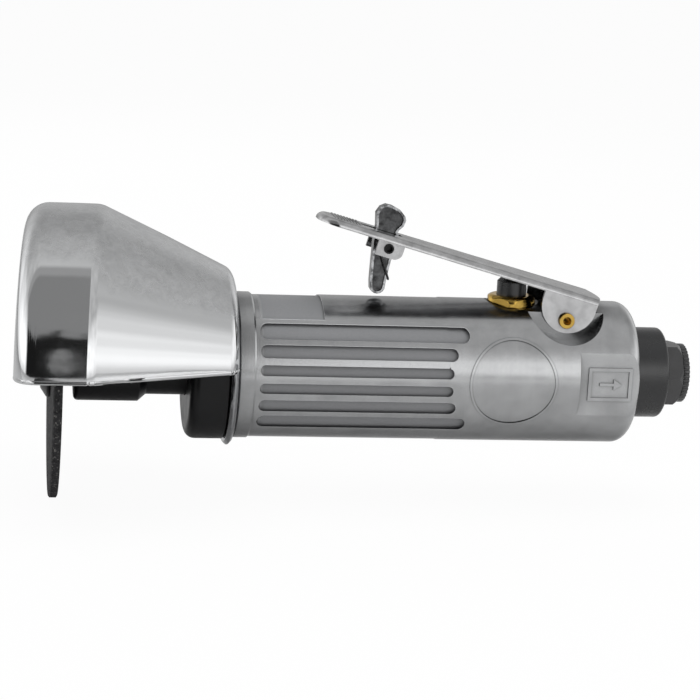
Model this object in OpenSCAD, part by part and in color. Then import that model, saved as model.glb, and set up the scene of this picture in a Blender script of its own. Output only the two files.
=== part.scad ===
// Air-driven cut-off grinder with a drum guard, a throttle lever and a lock lever.
// Millimetres. The motor axis is X. The origin is the centre of the air inlet's mouth,
// +X points out of the inlet and +Z is the lever side. The wheel is at -X.

/* [Wheel] */
// Diameter of the cutting wheel
wheel_d = 76; // [60:1:78]
// Thickness of the cutting wheel
wheel_w = 2.4; // [1.2:0.1:3.2]
// Bore of the cutting wheel
wheel_bore_d = 9.5; // [8.5:0.1:11]
// Diameter of the outer clamping flange
flange_d = 20.2; // [16:0.2:26]
// Thickness of the outer clamping flange
flange_w = 2.7; // [2:0.1:4]
// Diameter of the spacer behind the wheel
spacer_d = 12.4; // [11.6:0.2:20]
// Thickness of the spacer behind the wheel
spacer_w = 4; // [1:0.5:6]
// Thread diameter of the arbor screw
screw_d = 6; // [5:0.5:6]
// Head diameter of the arbor screw
screw_head_d = 10; // [9:0.5:12]
// Head height of the arbor screw
screw_head_h = 4; // [3:0.5:5]

/* [Spindle] */
// Diameter of the large spindle sleeve
sleeve_d = 21.6; // [18:0.2:26]
// Length of the large spindle sleeve
sleeve_w = 17.8; // [12:0.2:22]
// Length of the taper behind the sleeve
taper_w = 2.2; // [1:0.1:3]
// Diameter of the spindle neck
neck_d = 17.6; // [14:0.2:17.6]
// Length of neck between the sleeve and the clamp nut
neck_w = 11; // [8:0.2:14]

/* [Guard] */
// Outer diameter of the guard's drum
guard_d = 87.7; // [82:0.5:100]
// Length of the drum part, from its front face to the crease
drum_w = 20.4; // [14:0.2:26]
// Length of the whole guard
guard_len = 58.3; // [54:0.1:70]
// Thickness of the guard's sheet
guard_wall = 1.5; // [1:0.1:2]
// Outer radius of the guard's front corner
guard_front_round = 6; // [4:0.5:8]
// Outer radius of the guard's rear corner
guard_back_round = 4; // [3:0.5:5]
// How far outside the clamping plate the centre of the guard's rear corner lies
guard_shoulder = 1.35; // [0.6:0.05:6]
// Inner diameter of the lip at the guard's open front
lip_d = 68; // [60:1:72]
// Height of the guard's cut edge above the motor axis
guard_cut_z = 2; // [0:0.5:6]
// Height of the hem along the cut edge
hem_h = 1.5; // [1:0.1:3]
// How far the hem stands proud of the sheet
hem_proud = 0.4; // [0.2:0.1:0.8]
// How far the guard's clamping plate stands out past the clamp nut
plate_rim = 1.7; // [1:0.1:3]
// Thickness of the guard's clamping plate
plate_w = 2; // [1.5:0.1:3]

/* [Housing] */
// Length of the motor housing
housing_len = 114.2; // [112.6:0.1:126]
// Diameter of the grip in front of the step
barrel_d = 40.4; // [40:0.2:44]
// How far the housing behind the step stands out past the grip
rear_proud = 0.15; // [0.1:0.05:0.8]
// How far the collar ring at the housing's front stands out past the grip
ring_proud = 0.35; // [0.2:0.05:1]
// Length of the collar ring at the housing's front
ring_w = 4.3; // [3:0.1:6]
// Distance from the housing's rear end to the step
step_back = 55.3; // [53.6:0.1:57.6]
// Radius of the housing's rounded rear end
end_round = 4.2; // [3:0.1:5]
// Diameter of the bore that holds the motor
chamber_d = 34.1; // [34.1:0.1:34.6]
// Depth of the bore that holds the motor
chamber_len = 56.5; // [56.5:0.5:58]
// How far the black clamp nut in front stands out past the grip
nut_proud = 0.75; // [0.3:0.05:1.5]
// Visible length of the clamp nut
nut_w = 10.8; // [9:0.1:12]

/* [Housing details] */
// Distance from the housing's front to the grip grooves
groove_start = 5.9; // [5:0.1:9]
// Distance between the centre lines of neighbouring grooves
groove_pitch = 5.05; // [4.6:0.05:5.4]
// Depth of the grip grooves
groove_depth = 0.7; // [0.3:0.1:0.9]
// Depth of the blank label recess in front on top
label_depth = 0.35; // [0.2:0.05:0.5]
// Length of the blank label recess
label_len = 19.2; // [12:0.2:24]
// Diameter of the raised ring on the side
badge_d = 25; // [20:0.5:26]
// Distance from the housing's rear end to the raised ring's centre
badge_back = 37.3; // [34.6:0.1:39.6]
// Depth of the flat panel beside the inlet
panel_depth = 2.05; // [1:0.05:2.2]

/* [Inlet] */
// Radius of the inlet's thread bore
inlet_r = 5.7; // [5:0.1:5.9]
// Depth of the inlet's thread bore
inlet_len = 14; // [12:0.5:14]
// Hexagon across its flats
hex_af = 17; // [16:0.5:19]
// Length of the hexagon
hex_w = 5.3; // [4:0.1:7]
// Diameter of the knurled ring at the mouth
knurl_d = 17; // [16.6:0.1:19]
// Length of the knurled ring
knurl_w = 1.7; // [1:0.1:3]
// Diameter of the turning exhaust collar
collar_d = 26; // [25.6:0.2:28]
// Length of the turning exhaust collar
collar_w = 10.1; // [8.8:0.1:11.4]

/* [Throttle lever] */
// Length of the lever in front of its pin
lever_reach = 75.3; // [72:0.1:82]
// Width of the lever at its pin
lever_w = 20.2; // [19:0.1:21]
// Width of the lever at its tip
tip_w = 15.1; // [14:0.1:18]
// Thickness of the lever's sheet
lever_t = 1.1; // [0.8:0.05:1.2]
// Height of the folded rim round the lever
lever_rim = 2; // [2:0.1:2.6]
// Angle of the released lever to the motor axis, in degrees
lever_slope = 15; // [14.5:0.1:16]
// Height of the lever's top face over its pin
lever_rise = 8.4; // [8.2:0.05:9]
// Distance from the housing's rear end to the lever pin
pin_back = 20.9; // [20.4:0.1:21.6]
// Height of the lever pin above the motor axis
pin_z = 16.5; // [16.2:0.1:17]
// Diameter of the lever pin
pin_d = 3.4; // [3:0.1:3.8]
// Diameter of the lever pin's heads
pin_head_d = 4.4; // [4:0.1:5]
// Radius of the lever's ears
ear_r = 7.9; // [7.4:0.1:8.2]

/* [Lock lever] */
// Distance along the lever from its pin to the lock's pin
lock_reach = 54.7; // [53:0.1:56]
// Height of the lock's pin over the lever pin, square to the lever
lock_rise = 4.75; // [4.6:0.05:4.9]
// Thickness of the lock
lock_t = 3; // [2:0.1:3.2]
// Depth of the hollow in each side of the lock
lock_hollow = 0.7; // [0.3:0.1:1]
// Diameter of the lock's pin
lock_pin_d = 2.8; // [2.4:0.1:2.9]
// Wire diameter of the lock's spring
wire_d = 0.55; // [0.4:0.05:0.6]
// Turns of the lock's spring
lock_turns = 3; // [2:1:3]

/* [Throttle valve] */
// Distance from the housing's rear end to the valve's axis
valve_back = 34.9; // [34.6:0.1:36.6]
// Diameter of the black valve button
button_d = 8.4; // [7.6:0.1:8.6]
// Hexagon of the brass valve bush across its flats
bush_af = 13.3; // [12.6:0.1:13.6]
// Height of the bush's head
bush_h = 3.1; // [2.6:0.1:3.2]
// Turns of the valve's spring
valve_turns = 5; // [3:1:5]

/* [Motor] */
// Diameter of the rotor
rotor_d = 26.4; // [25:0.1:26.4]
// Diameter of the cylinder's bore
cylinder_bore_d = 29.2; // [29.2:0.1:29.6]
// Offset of the cylinder's bore from the motor axis
eccentric = 1.3; // [1:0.05:1.3]
// Length of the cylinder
cylinder_len = 36; // [30:0.5:36]
// Number of vanes
vanes = 5; // [3:1:6]
// Thickness of a vane
vane_t = 1.9; // [1.4:0.1:2.2]

/* [Hidden] */
$fn = 72;

// Fits and gaps
fit = 0.03;         // a shaft in its seat
run = 0.08;         // a turning fit, on radius
face = 0.1;         // between two faces that turn on each other
clear = 0.3;        // between bodies that only pass each other
over = 1;           // how far a cutting tool runs past what it cuts

// Diameters that follow the grip's
rear_d = barrel_d + 2 * rear_proud;
ring_d = barrel_d + 2 * ring_proud;
nut_d = barrel_d + 2 * nut_proud;
plate_d = nut_d + 2 * plate_rim;

// Stations along the motor axis, from the inlet's mouth to the front
ring_gap = 0.2;
x_hex = -(knurl_w + ring_gap + hex_w);
x_rear = x_hex - collar_w;
x_front = x_rear - housing_len;
x_plate = x_front - face - plate_w;
x_nut = x_plate - face;
x_nut_face = x_nut - nut_w;
x_taper = x_nut_face - neck_w;
x_sleeve = x_taper - taper_w;
x_sleeve_face = x_sleeve - sleeve_w;
x_wheel = x_sleeve_face - spacer_w;
x_wheel_face = x_wheel - wheel_w;
x_flange_face = x_wheel_face - flange_w;
x_step = x_rear - step_back;
x_badge = x_rear - badge_back;
x_pin = x_rear - pin_back;
x_valve = x_rear - valve_back;
x_guard_back = x_front - 0.4;
x_guard_front = x_guard_back - guard_len;

// The stack in the motor's bore, from its bottom to the front
gasket_w = 0.5;
front_plate_w = 9;
plate_web = 1;
rear_web = 1.5;
x_floor = x_front + chamber_len;
x_rear_plate = x_floor - gasket_w;
rear_bearing = [4, 11, 7, 7.5, 1.98];
front_bearing = [5, 13, 8, 9, 2.38];
x_cylinder_back = x_rear_plate - rear_bearing[2] - rear_web;
x_cylinder_front = x_cylinder_back - cylinder_len;
x_front_web = x_cylinder_front - plate_web;
x_front_plate = x_front_web - front_bearing[2];
balls = 7;

chamber_r = chamber_d / 2;
stack_r = chamber_r - 0.15;
spigot_r = chamber_r - fit;
neck_r = neck_d / 2;
taper = atan((lever_w - tip_w) / 2 / lever_reach);
function half_at(x) = lever_w / 2 + x * tan(taper);
boss_half = half_at(-ear_r) - lever_t - clear;
port_z = 13.4;
port_r = 1.9;
exhaust_ring_r = 10.6;
exhaust_r = 1.7;
flat_z = -15.6;

// Thread bore and plug of the inlet bushing
plug_r = 7.95;
plug_len = 11.5;
bushing_seal_w = 0.8;
shoulder_r = 8.45;

// Valve heights, from the bottom of its bore to the bush
valve_r = 4.6;
valve_floor = -4;
seat_z = 7.5;
seat_w = 2;
bush_body_z = 15.5;
bush_body_r = 6;
bush_z = 18.9;
bush_top = bush_z + bush_h;
valve_head_h = 2;
head_r = 3.6;
stem_r = 1.4;
stem_top = 20;

// Rounded outline pieces
function arc(x, y, r, from, to, steps) =
    [for (i = [0:steps]) let (a = from + (to - from) * i / steps) [x + r * cos(a), y + r * sin(a)]];

// A body turned about the motor axis from points [radius, x]
module turned(points) {
    rotate([0, 90, 0]) rotate_extrude() polygon(points);
}

module rod(r, x0, x1) {
    translate([x0, 0, 0]) rotate([0, 90, 0]) cylinder(r = r, h = x1 - x0);
}

module washer(r_out, r_in, x0, x1) {
    difference() {
        rod(r_out, x0, x1);
        rod(r_in, x0 - over, x1 + over);
    }
}

// A cylinder square to the motor axis, across the housing
module cross_rod(r, x, z, y0, y1) {
    translate([x, y0, z]) rotate([-90, 0, 0]) cylinder(r = r, h = y1 - y0);
}

// Housing

groove_rows = [-2.5, -1.5, -0.5, 0.5, 1.5, 2.5];
function groove_width(row) = 3.0 + 0.45 * (abs(row) - 0.5);
function groove_length(row) = 54 + 1.15 * pow(abs(row) - 0.5, 2);
function groove_tip(row) = x_front + groove_start + groove_length(row);

module groove_tool(row) {
    w = groove_width(row);
    start = x_front + groove_start;
    translate([start, -rear_d, row * groove_pitch])
        rotate([-90, 0, 0])
            linear_extrude(2 * rear_d)
                union() {
                    translate([w / 2, -w / 2]) square([groove_length(row) - w, w]);
                    translate([w / 2, 0]) circle(w / 2);
                    translate([groove_length(row) - w / 2, 0]) circle(w / 2);
                }
}

module grip_grooves() {
    difference() {
        for (row = groove_rows) groove_tool(row);
        rod(barrel_d / 2 - groove_depth, x_front, x_rear);
    }
}

label_half = 12.8;
module label_recess() {
    intersection() {
        washer(barrel_d, barrel_d / 2 - label_depth, x_front + ring_w + 0.5,
            x_front + ring_w + 0.5 + label_len);
        translate([x_front, -label_half, 0]) cube([housing_len, 2 * label_half, barrel_d]);
    }
}

badge_line = 0.6;
badge_proud = 0.25;
module badge_ring() {
    intersection() {
        difference() {
            cross_rod(badge_d / 2, x_badge, 0, -rear_d, 0);
            cross_rod(badge_d / 2 - badge_line, x_badge, 0, -rear_d - over, over);
        }
        rod(rear_d / 2 + badge_proud, x_badge - badge_d, x_badge + badge_d);
    }
}

panel_len = 18.3;
panel_y = panel_depth - rear_d / 2;
module panel_tool() {
    translate([x_rear - panel_len, panel_y - rear_d, -rear_d]) cube([panel_len + over, rear_d, 2 * rear_d]);
}

frame_size = [12.6, 9.4];
frame_line = 0.9;
frame_back = 9.2;
frame_proud = 0.4;
module panel_frame() {
    x_mid = x_rear - frame_back;
    translate([x_mid, panel_y + over, 0]) rotate([90, 0, 0]) linear_extrude(frame_proud + over)
        difference() {
            square(frame_size, center = true);
            square([frame_size[0] - 2 * frame_line, frame_size[1] - 2 * frame_line], center = true);
        }
    translate([x_mid, panel_y + over, 0]) rotate([90, 0, 0]) linear_extrude(frame_proud + over)
        union() {
            translate([-3, -0.4]) square([4.2, 0.8]);
            polygon([[1, -1.5], [3.4, 0], [1, 1.5]]);
        }
}

// The round pockets that let the lever's ears swing beside the hinge boss
pocket_r = 11.6;
pocket_shift = 0.1;
pocket_z = 22.3;
module ear_pockets() {
    cross_rod(pocket_r, x_pin + pocket_shift, pocket_z, -rear_d, -boss_half);
    cross_rod(pocket_r, x_pin + pocket_shift, pocket_z, boss_half, rear_d);
}

spot_r = 7.7;
module valve_passages() {
    translate([x_valve, 0, valve_floor]) cylinder(r = valve_r, h = rear_d);
    translate([x_valve, 0, bush_body_z]) cylinder(r = bush_body_r + fit, h = rear_d);
    translate([x_valve, 0, bush_z]) cylinder(r = spot_r, h = rear_d);
    translate([0, 0, port_z]) rod(port_r, x_floor - over, x_valve);
    rod(4.5, x_valve, x_rear - plug_len + over);
}

exhaust_turns = [-150, -120, -90, -60, -30];
module exhaust_passages() {
    for (a = exhaust_turns)
        rotate([a + 90, 0, 0]) translate([0, 0, -exhaust_ring_r]) rod(exhaust_r, x_floor - over, x_rear + over);
    difference() {
        rod(chamber_r - 0.5, x_floor - over, x_floor + 5);
        rod(exhaust_ring_r - exhaust_r - 0.5, x_floor - 2 * over, x_floor + 6);
        translate([x_floor - 2 * over, -rear_d, -3]) cube([9, 2 * rear_d, rear_d]);
    }
}

dowel_y = 15.7;
dowel_r = 0.9;
dowel_grip = 3;
module housing_outline() {
    ring_r = ring_d / 2;
    barrel_r = barrel_d / 2;
    rear_r = rear_d / 2;
    turned(concat(
        [[0, x_front], [ring_r - 0.6, x_front], [ring_r, x_front + 0.6],
         [ring_r, x_front + ring_w], [barrel_r, x_front + ring_w + 0.5], [barrel_r, x_step - 0.6],
         [rear_r, x_step]],
        arc(rear_r - end_round, x_rear - end_round, end_round, 0, 90, 8),
        [[0, x_rear]]));
}

module motor_housing() {
    color("silver") union() {
        difference() {
            housing_outline();
            rod(chamber_r, x_front - over, x_floor);
            rod(plug_r + fit, x_rear - plug_len - bushing_seal_w, x_rear + over);
            grip_grooves();
            label_recess();
            panel_tool();
            ear_pockets();
            valve_passages();
            exhaust_passages();
            cross_rod(pin_d / 2 + fit, x_pin, pin_z, -rear_d, rear_d);
            translate([0, dowel_y, 0]) rod(dowel_r + fit, x_floor - over, x_floor + dowel_grip);
        }
        difference() {
            badge_ring();
            rod(rear_d / 2 - 1, x_badge - badge_d, x_badge + badge_d);
        }
        panel_frame();
    }
}

// Clamp nut, seal, end plates and cylinder

nut_round = 2.8;
nut_wall = 3;
cavity_r = 13.4;
spanner_r = 1.6;
spanner_depth = 2.4;
spanner_turns = [180, 270];
nut_bore_r = neck_r + clear;
x_seal = x_nut_face + nut_wall;
seal_w = 3;
module front_clamp_nut() {
    r = nut_d / 2;
    x_spigot = x_front_plate;
    color("dimgray") difference() {
        turned(concat(
            [[0, x_nut_face]],
            arc(r - nut_round, x_nut_face + nut_round, nut_round, 270, 360, 6),
            [[r, x_nut - 0.4], [r - 0.4, x_nut], [spigot_r, x_nut], [spigot_r, x_spigot], [0, x_spigot]]));
        rod(nut_bore_r, x_nut_face - over, x_seal + over);
        rod(cavity_r, x_seal, x_spigot + over);
        for (a = spanner_turns)
            rotate([a, 0, 0]) translate([x_nut_face + nut_w / 2, 0, r - spanner_depth])
                cylinder(r = spanner_r, h = spanner_depth + over);
    }
}

module spindle_dust_seal() {
    color("gray") washer(cavity_r, neck_r + run, x_seal, x_seal + seal_w);
}

module front_end_plate() {
    color("silver") difference() {
        rod(stack_r, x_front_plate, x_cylinder_front);
        rod(front_bearing[1] + fit, x_front_plate - over, x_front_web);
        rod(front_bearing[0] + 0.6, x_front_plate, x_cylinder_front + over);
        exhaust_flat(x_front_plate, x_cylinder_front);
    }
}

module exhaust_flat(x0, x1) {
    translate([x0 - over, -rear_d, flat_z - rear_d]) cube([x1 - x0 + 2 * over, 2 * rear_d, rear_d]);
}

module motor_cylinder() {
    port_x = [for (i = [-1:1]) (x_cylinder_front + x_cylinder_back) / 2 + 8 * i];
    color("slategray") difference() {
        rod(stack_r, x_cylinder_front, x_cylinder_back);
        translate([0, 0, eccentric])
            rod(cylinder_bore_d / 2, x_cylinder_front - over, x_cylinder_back + over);
        exhaust_flat(x_cylinder_front, x_cylinder_back);
        for (x = port_x) translate([x, 0, -stack_r - over]) cylinder(r = 2, h = stack_r);
        translate([0, dowel_y, 0])
            rod(dowel_r + fit, x_cylinder_back - dowel_grip, x_cylinder_back + over);
    }
}

module cylinder_dowel() {
    color("lightgray") translate([0, dowel_y, 0])
        rod(dowel_r, x_cylinder_back - dowel_grip, x_floor + dowel_grip);
}

module rear_end_plate() {
    color("silver") difference() {
        rod(stack_r, x_cylinder_back, x_rear_plate);
        rod(rear_bearing[1] + fit, x_cylinder_back + rear_web, x_rear_plate + over);
        rod(rear_bearing[0] + 0.6, x_cylinder_back - over, x_rear_plate);
        translate([0, 0, port_z]) rod(port_r, x_cylinder_back - over, x_rear_plate + over);
        translate([0, dowel_y, 0]) rod(dowel_r + fit, x_cylinder_back - over, x_rear_plate + over);
        exhaust_flat(x_cylinder_back, x_rear_plate);
    }
}

module housing_gasket() {
    color("tan") difference() {
        washer(stack_r, 9, x_rear_plate, x_floor);
        translate([0, 0, port_z]) rod(port_r, x_rear_plate - over, x_floor + over);
        translate([0, dowel_y, 0]) rod(dowel_r + fit, x_rear_plate - over, x_floor + over);
        exhaust_flat(x_rear_plate, x_floor);
    }
}

// Ball bearings: [bore radius, outside radius, width, pitch radius, ball radius]

race_gap = 0.03;
function race_half(b) = 0.64 * b[4];
function x_mid(x0, b) = x0 + b[2] / 2;

module race_groove(x0, b) {
    translate([x_mid(x0, b), 0, 0]) rotate([0, 90, 0]) rotate_extrude()
        translate([b[3], 0]) circle(b[4] + race_gap);
}

module inner_race(x0, b) {
    color("lightgray") difference() {
        washer(b[3] - race_half(b), b[0], x0, x0 + b[2]);
        race_groove(x0, b);
    }
}

module outer_race(x0, b) {
    color("lightgray") difference() {
        washer(b[1], b[3] + race_half(b), x0, x0 + b[2]);
        race_groove(x0, b);
    }
}

module ball_set(x0, b) {
    color("gainsboro") for (i = [0:balls - 1])
        rotate([360 * i / balls, 0, 0]) translate([x_mid(x0, b), 0, b[3]]) sphere(b[4]);
}

module ball_cage(x0, b) {
    half = 0.35 * b[4];
    reach = 1.25 * b[4];
    color("peru") difference() {
        washer(b[3] + half, b[3] - half, x_mid(x0, b) - reach, x_mid(x0, b) + reach);
        for (i = [0:balls - 1])
            rotate([360 * i / balls, 0, 0]) translate([x_mid(x0, b), 0, b[3] - b[4]])
                cylinder(r = b[4] + race_gap, h = 2 * b[4]);
    }
}

module front_bearing_outer_race() { outer_race(x_front_plate, front_bearing); }
module front_bearing_inner_race() { inner_race(x_front_plate, front_bearing); }
module front_bearing_balls() { ball_set(x_front_plate, front_bearing); }
module front_bearing_cage() { ball_cage(x_front_plate, front_bearing); }
x_rear_bearing = x_rear_plate - rear_bearing[2];
module rear_bearing_outer_race() { outer_race(x_rear_bearing, rear_bearing); }
module rear_bearing_inner_race() { inner_race(x_rear_bearing, rear_bearing); }
module rear_bearing_balls() { ball_set(x_rear_bearing, rear_bearing); }
module rear_bearing_cage() { ball_cage(x_rear_bearing, rear_bearing); }

// Rotor, spindle and wheel

end_gap = 0.2;
vane_depth = 5.5;
slot_depth = 6.5;
thread_r = 4.5;
thread_len = 16;
x_thread = x_front_plate - thread_len;
module rotor() {
    r = rotor_d / 2;
    color("slategray") difference() {
        union() {
            rod(r, x_cylinder_front + end_gap, x_cylinder_back - end_gap);
            rod(front_bearing[0] - fit, x_front_plate, x_cylinder_front + end_gap);
            rod(rear_bearing[0] - fit, x_cylinder_back - end_gap, x_rear_plate - 0.3);
            rod(thread_r, x_thread, x_front_plate);
        }
        for (i = [0:vanes - 1])
            rotate([360 * i / vanes, 0, 0]) translate([x_front_plate, -vane_t / 2 - 0.05, r - slot_depth])
                cube([housing_len, vane_t + 0.1, slot_depth + over]);
    }
}

module rotor_vanes() {
    color("saddlebrown") for (i = [0:vanes - 1])
        rotate([360 * i / vanes, 0, 0])
            translate([x_cylinder_front + end_gap, -vane_t / 2, rotor_d / 2 - vane_depth - 0.05])
                cube([cylinder_len - 2 * end_gap, vane_t, vane_depth]);
}

nose_r = wheel_bore_d / 2 - 0.05;
nose_gap = 0.3;
screw_len = 16;
module spindle() {
    r = sleeve_d / 2;
    tail_r = 6.4;
    x_tail = x_seal + seal_w;
    x_nose = x_wheel_face + nose_gap;
    color("dimgray") difference() {
        turned(concat(
            [[0, x_nose], [nose_r, x_nose], [nose_r, x_sleeve_face]],
            arc(r - 1.2, x_sleeve_face + 1.2, 1.2, 270, 360, 4),
            [[r, x_sleeve], [neck_r, x_taper], [neck_r, x_tail], [tail_r, x_tail],
             [tail_r, x_front_plate], [0, x_front_plate]]));
        rod(thread_r + 0.05, x_thread - over, x_front_plate + over);
        rod(screw_d / 2 + 0.05, x_nose - over, x_wheel_face + screw_len + over);
    }
}

module wheel_spacer() {
    color("dimgray") washer(spacer_d / 2, nose_r + 0.05, x_wheel, x_sleeve_face);
}

module cutting_wheel() {
    color([0.22, 0.22, 0.22]) washer(wheel_d / 2, wheel_bore_d / 2, x_wheel_face, x_wheel);
}

module wheel_flange() {
    r = flange_d / 2;
    bevel = 1.7;
    color("gray") difference() {
        turned([[0, x_flange_face], [r - bevel * 1.5, x_flange_face], [r, x_flange_face + bevel],
            [r, x_wheel_face], [0, x_wheel_face]]);
        rod(screw_d / 2 + 0.1, x_flange_face - over, x_wheel_face + over);
    }
}

module arbor_screw() {
    socket_af = 5;
    x_head = x_flange_face - screw_head_h;
    color("dimgray") difference() {
        union() {
            turned([[0, x_head], [screw_head_d / 2 - 0.5, x_head], [screw_head_d / 2, x_head + 0.5],
                [screw_head_d / 2, x_flange_face], [0, x_flange_face]]);
            rod(screw_d / 2, x_flange_face - 0.5, x_wheel_face + screw_len);
        }
        translate([x_head - over, 0, 0]) rotate([0, 90, 0])
            cylinder(r = socket_af / sqrt(3), h = screw_head_h - 1 + over, $fn = 6);
    }
}

// Guard: a half drum and cone of sheet steel, with a hem along its cut edge

// Centre of the rear corner, and the cone that touches its circle from the crease
x_crease = x_guard_front + drum_w;
x_corner = x_guard_back - guard_back_round;
corner_r = plate_d / 2 + guard_shoulder;
cone_run = [x_corner - x_crease, guard_d / 2 - corner_r];
cone_slope = acos(guard_back_round / norm(cone_run)) - atan2(cone_run[0], cone_run[1]);

// Outline of the sheet's face at a depth below its outer face
function guard_line(depth) =
    let (r_drum = guard_d / 2, s = cone_slope,
         f = guard_front_round, b = guard_back_round,
         crease_shift = depth * tan(s / 2))
    concat(
        [[lip_d / 2, x_guard_front + depth]],
        arc(r_drum - f, x_guard_front + f, f - depth, 270, 360, 6),
        [[r_drum - depth, x_crease - crease_shift]],
        arc(corner_r, x_corner, b - depth, s, 90, 6),
        [[plate_d / 2, x_guard_back - depth]]);

function reversed(list) = [for (i = [len(list) - 1:-1:0]) list[i]];

module guard_half(outer, inner, z0, z1) {
    intersection() {
        turned(concat(guard_line(outer), reversed(guard_line(inner))));
        translate([x_guard_front - over, -guard_d, z0])
            cube([guard_len + 2 * over, 2 * guard_d, z1 - z0]);
    }
}

module guard_shell() {
    color("gainsboro") union() {
        guard_half(0, guard_wall, guard_cut_z, guard_d);
        guard_half(-hem_proud, guard_wall, guard_cut_z, guard_cut_z + hem_h);
    }
}

module guard_plate() {
    r = plate_d / 2;
    edge = 0.8;
    color("gainsboro") difference() {
        turned([[0, x_plate], [r - edge, x_plate], [r, x_plate + edge],
            [r, x_plate + plate_w - edge], [r - edge, x_plate + plate_w], [0, x_plate + plate_w]]);
        rod(spigot_r + run, x_plate - over, x_plate + plate_w + over);
    }
}

// Throttle valve

bush_corner = 0.5;
bush_dome = 1.9;
bush_turn = 20;
module valve_bush() {
    hex_r = bush_af / sqrt(3);
    round_r = bush_af / 2 + bush_corner;
    color("goldenrod") translate([x_valve, 0, 0]) difference() {
        union() {
            intersection() {
                translate([0, 0, bush_z]) rotate([0, 0, bush_turn]) cylinder(r = hex_r, h = bush_h, $fn = 6);
                rotate_extrude() polygon(concat(
                    [[0, bush_z], [round_r - 0.4, bush_z], [round_r, bush_z + 0.4]],
                    arc(round_r - bush_dome, bush_top - bush_dome, bush_dome, 0, 90, 6),
                    [[0, bush_top]]));
            }
            translate([0, 0, bush_body_z]) cylinder(r = bush_body_r, h = bush_z - bush_body_z + 0.5);
        }
        translate([0, 0, bush_body_z - over]) cylinder(r = button_d / 2 + 0.1, h = bush_h + 3 * over + 6);
    }
}

module valve_seat() {
    color("black") translate([x_valve, 0, seat_z]) difference() {
        cylinder(r = valve_r - fit, h = seat_w);
        translate([0, 0, -over]) cylinder(r = 2.6, h = seat_w + 2 * over);
    }
}

// The flat top of the button lies just under the lever's sheet, whose rear part touches it first
button_gap = 0.3;
button_foot = 12.5;
button_bevel = 0.9;
seal_z = 17.4;
seal_wire = 0.45;
function underside(x) = pin_z + (lever_rise - lever_t) / cos(lever_slope) - (x - x_pin) * tan(lever_slope);
button_top = underside(x_valve + button_d / 2 - button_bevel) - button_gap;
module valve_button() {
    r = button_d / 2;
    stop_r = valve_r - 0.2;
    stop_z = bush_body_z - 0.4;
    groove_r = r - 0.8;
    color([0.12, 0.12, 0.12]) translate([x_valve, 0, 0]) rotate_extrude() polygon([
        [stem_r + fit, button_foot], [stop_r, button_foot], [stop_r, stop_z], [r, stop_z],
        [r, seal_z - seal_wire], [groove_r, seal_z - seal_wire], [groove_r, seal_z + seal_wire],
        [r, seal_z + seal_wire], [r, button_top - button_bevel], [r - button_bevel, button_top],
        [0, button_top], [0, stem_top + 0.1], [stem_r + fit, stem_top + 0.1]]);
}

module button_seal() {
    color("black") translate([x_valve, 0, seal_z]) rotate_extrude()
        translate([button_d / 2 - 0.36, 0]) circle(0.42);
}

seat_gap = 0.15;
module valve_stem() {
    head_top = seat_z - seat_gap;
    color("silver") translate([x_valve, 0, 0]) union() {
        translate([0, 0, head_top - valve_head_h]) cylinder(r = head_r, h = valve_head_h);
        translate([0, 0, head_top - 0.1]) cylinder(r = stem_r, h = stem_top - head_top);
    }
}

// Wire springs: a round wire of six sides that follows a path of points

wire_sides = 6;
rings_per_turn = 8;
function unit(v) = v / norm(v);
function heading(path, i) =
    unit(path[min(i + 1, len(path) - 1)] - path[max(i - 1, 0)]);
// Normals carried along the path without twist
function carried(path, n, i = 0) =
    i == len(path) ? [] :
    let (t = heading(path, i), m = unit(n - (n * t) * t))
    concat([m], carried(path, m, i + 1));

// A closed skin over a stack of rings that all have the same number of points
module skin(rings) {
    n = len(rings[0]);
    last = (len(rings) - 1) * n;
    walls = [for (i = [0:len(rings) - 2]) for (k = [0:n - 1])
        let (a = i * n + k, b = i * n + (k + 1) % n)
        each [[a, a + n, b], [b, a + n, b + n]]];
    first_cap = [for (k = [1:n - 2]) [0, k, k + 1]];
    last_cap = [for (k = [1:n - 2]) [last, last + k + 1, last + k]];
    polyhedron([for (ring = rings) each ring], concat(walls, first_cap, last_cap));
}

module wire(path, r, side) {
    normals = carried(path, side);
    skin([for (i = [0:len(path) - 1])
        let (n = normals[i], b = cross(heading(path, i), n))
        [for (k = [0:wire_sides - 1]) let (a = 360 * k / wire_sides) path[i] + r * (cos(a) * n + sin(a) * b)]]);
}

function least_gap(path, r) =
    min([for (i = [0:len(path) - 1]) for (j = [i + 5:1:len(path) - 1]) norm(path[i] - path[j])]) - 2 * r;

valve_wire_r = 0.35;
valve_coil_r = 3.1;
function valve_path() =
    let (low = valve_floor + valve_wire_r, high = seat_z - seat_gap - valve_head_h - valve_wire_r,
         steps = valve_turns * rings_per_turn)
    [for (i = [0:steps]) let (a = 360 * i / rings_per_turn)
        [x_valve + valve_coil_r * cos(a), valve_coil_r * sin(a), low + (high - low) * i / steps]];

module valve_spring() {
    echo(str("valve spring least gap ", least_gap(valve_path(), valve_wire_r)));
    color("silver") wire(valve_path(), valve_wire_r, [1, 0, 0]);
}

// Throttle lever, in its own frame: the origin is its pin, and x runs along its sheet

module on_lever() {
    translate([x_pin, 0, pin_z]) rotate([0, lever_slope, 0]) children();
}

ear_x = -0.5;
ear_z = 4.3;
ear_end = ear_x + ear_r;
tail_bow = 1.7;
lever_tail = ear_end + tail_bow;
lug = [-58, -50.5, 2.2];
lug_round = 2.4;
fold_r = 1.9;
tip_round = 6;
slot_half = lock_t / 2 + clear;
slot_front = 11.8;
slot_rear = 4;

// Centre of the tip's round corner on each side
tip_x = tip_round - lever_reach;
tip_y = half_at(tip_x) - tip_round / cos(taper);

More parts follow.
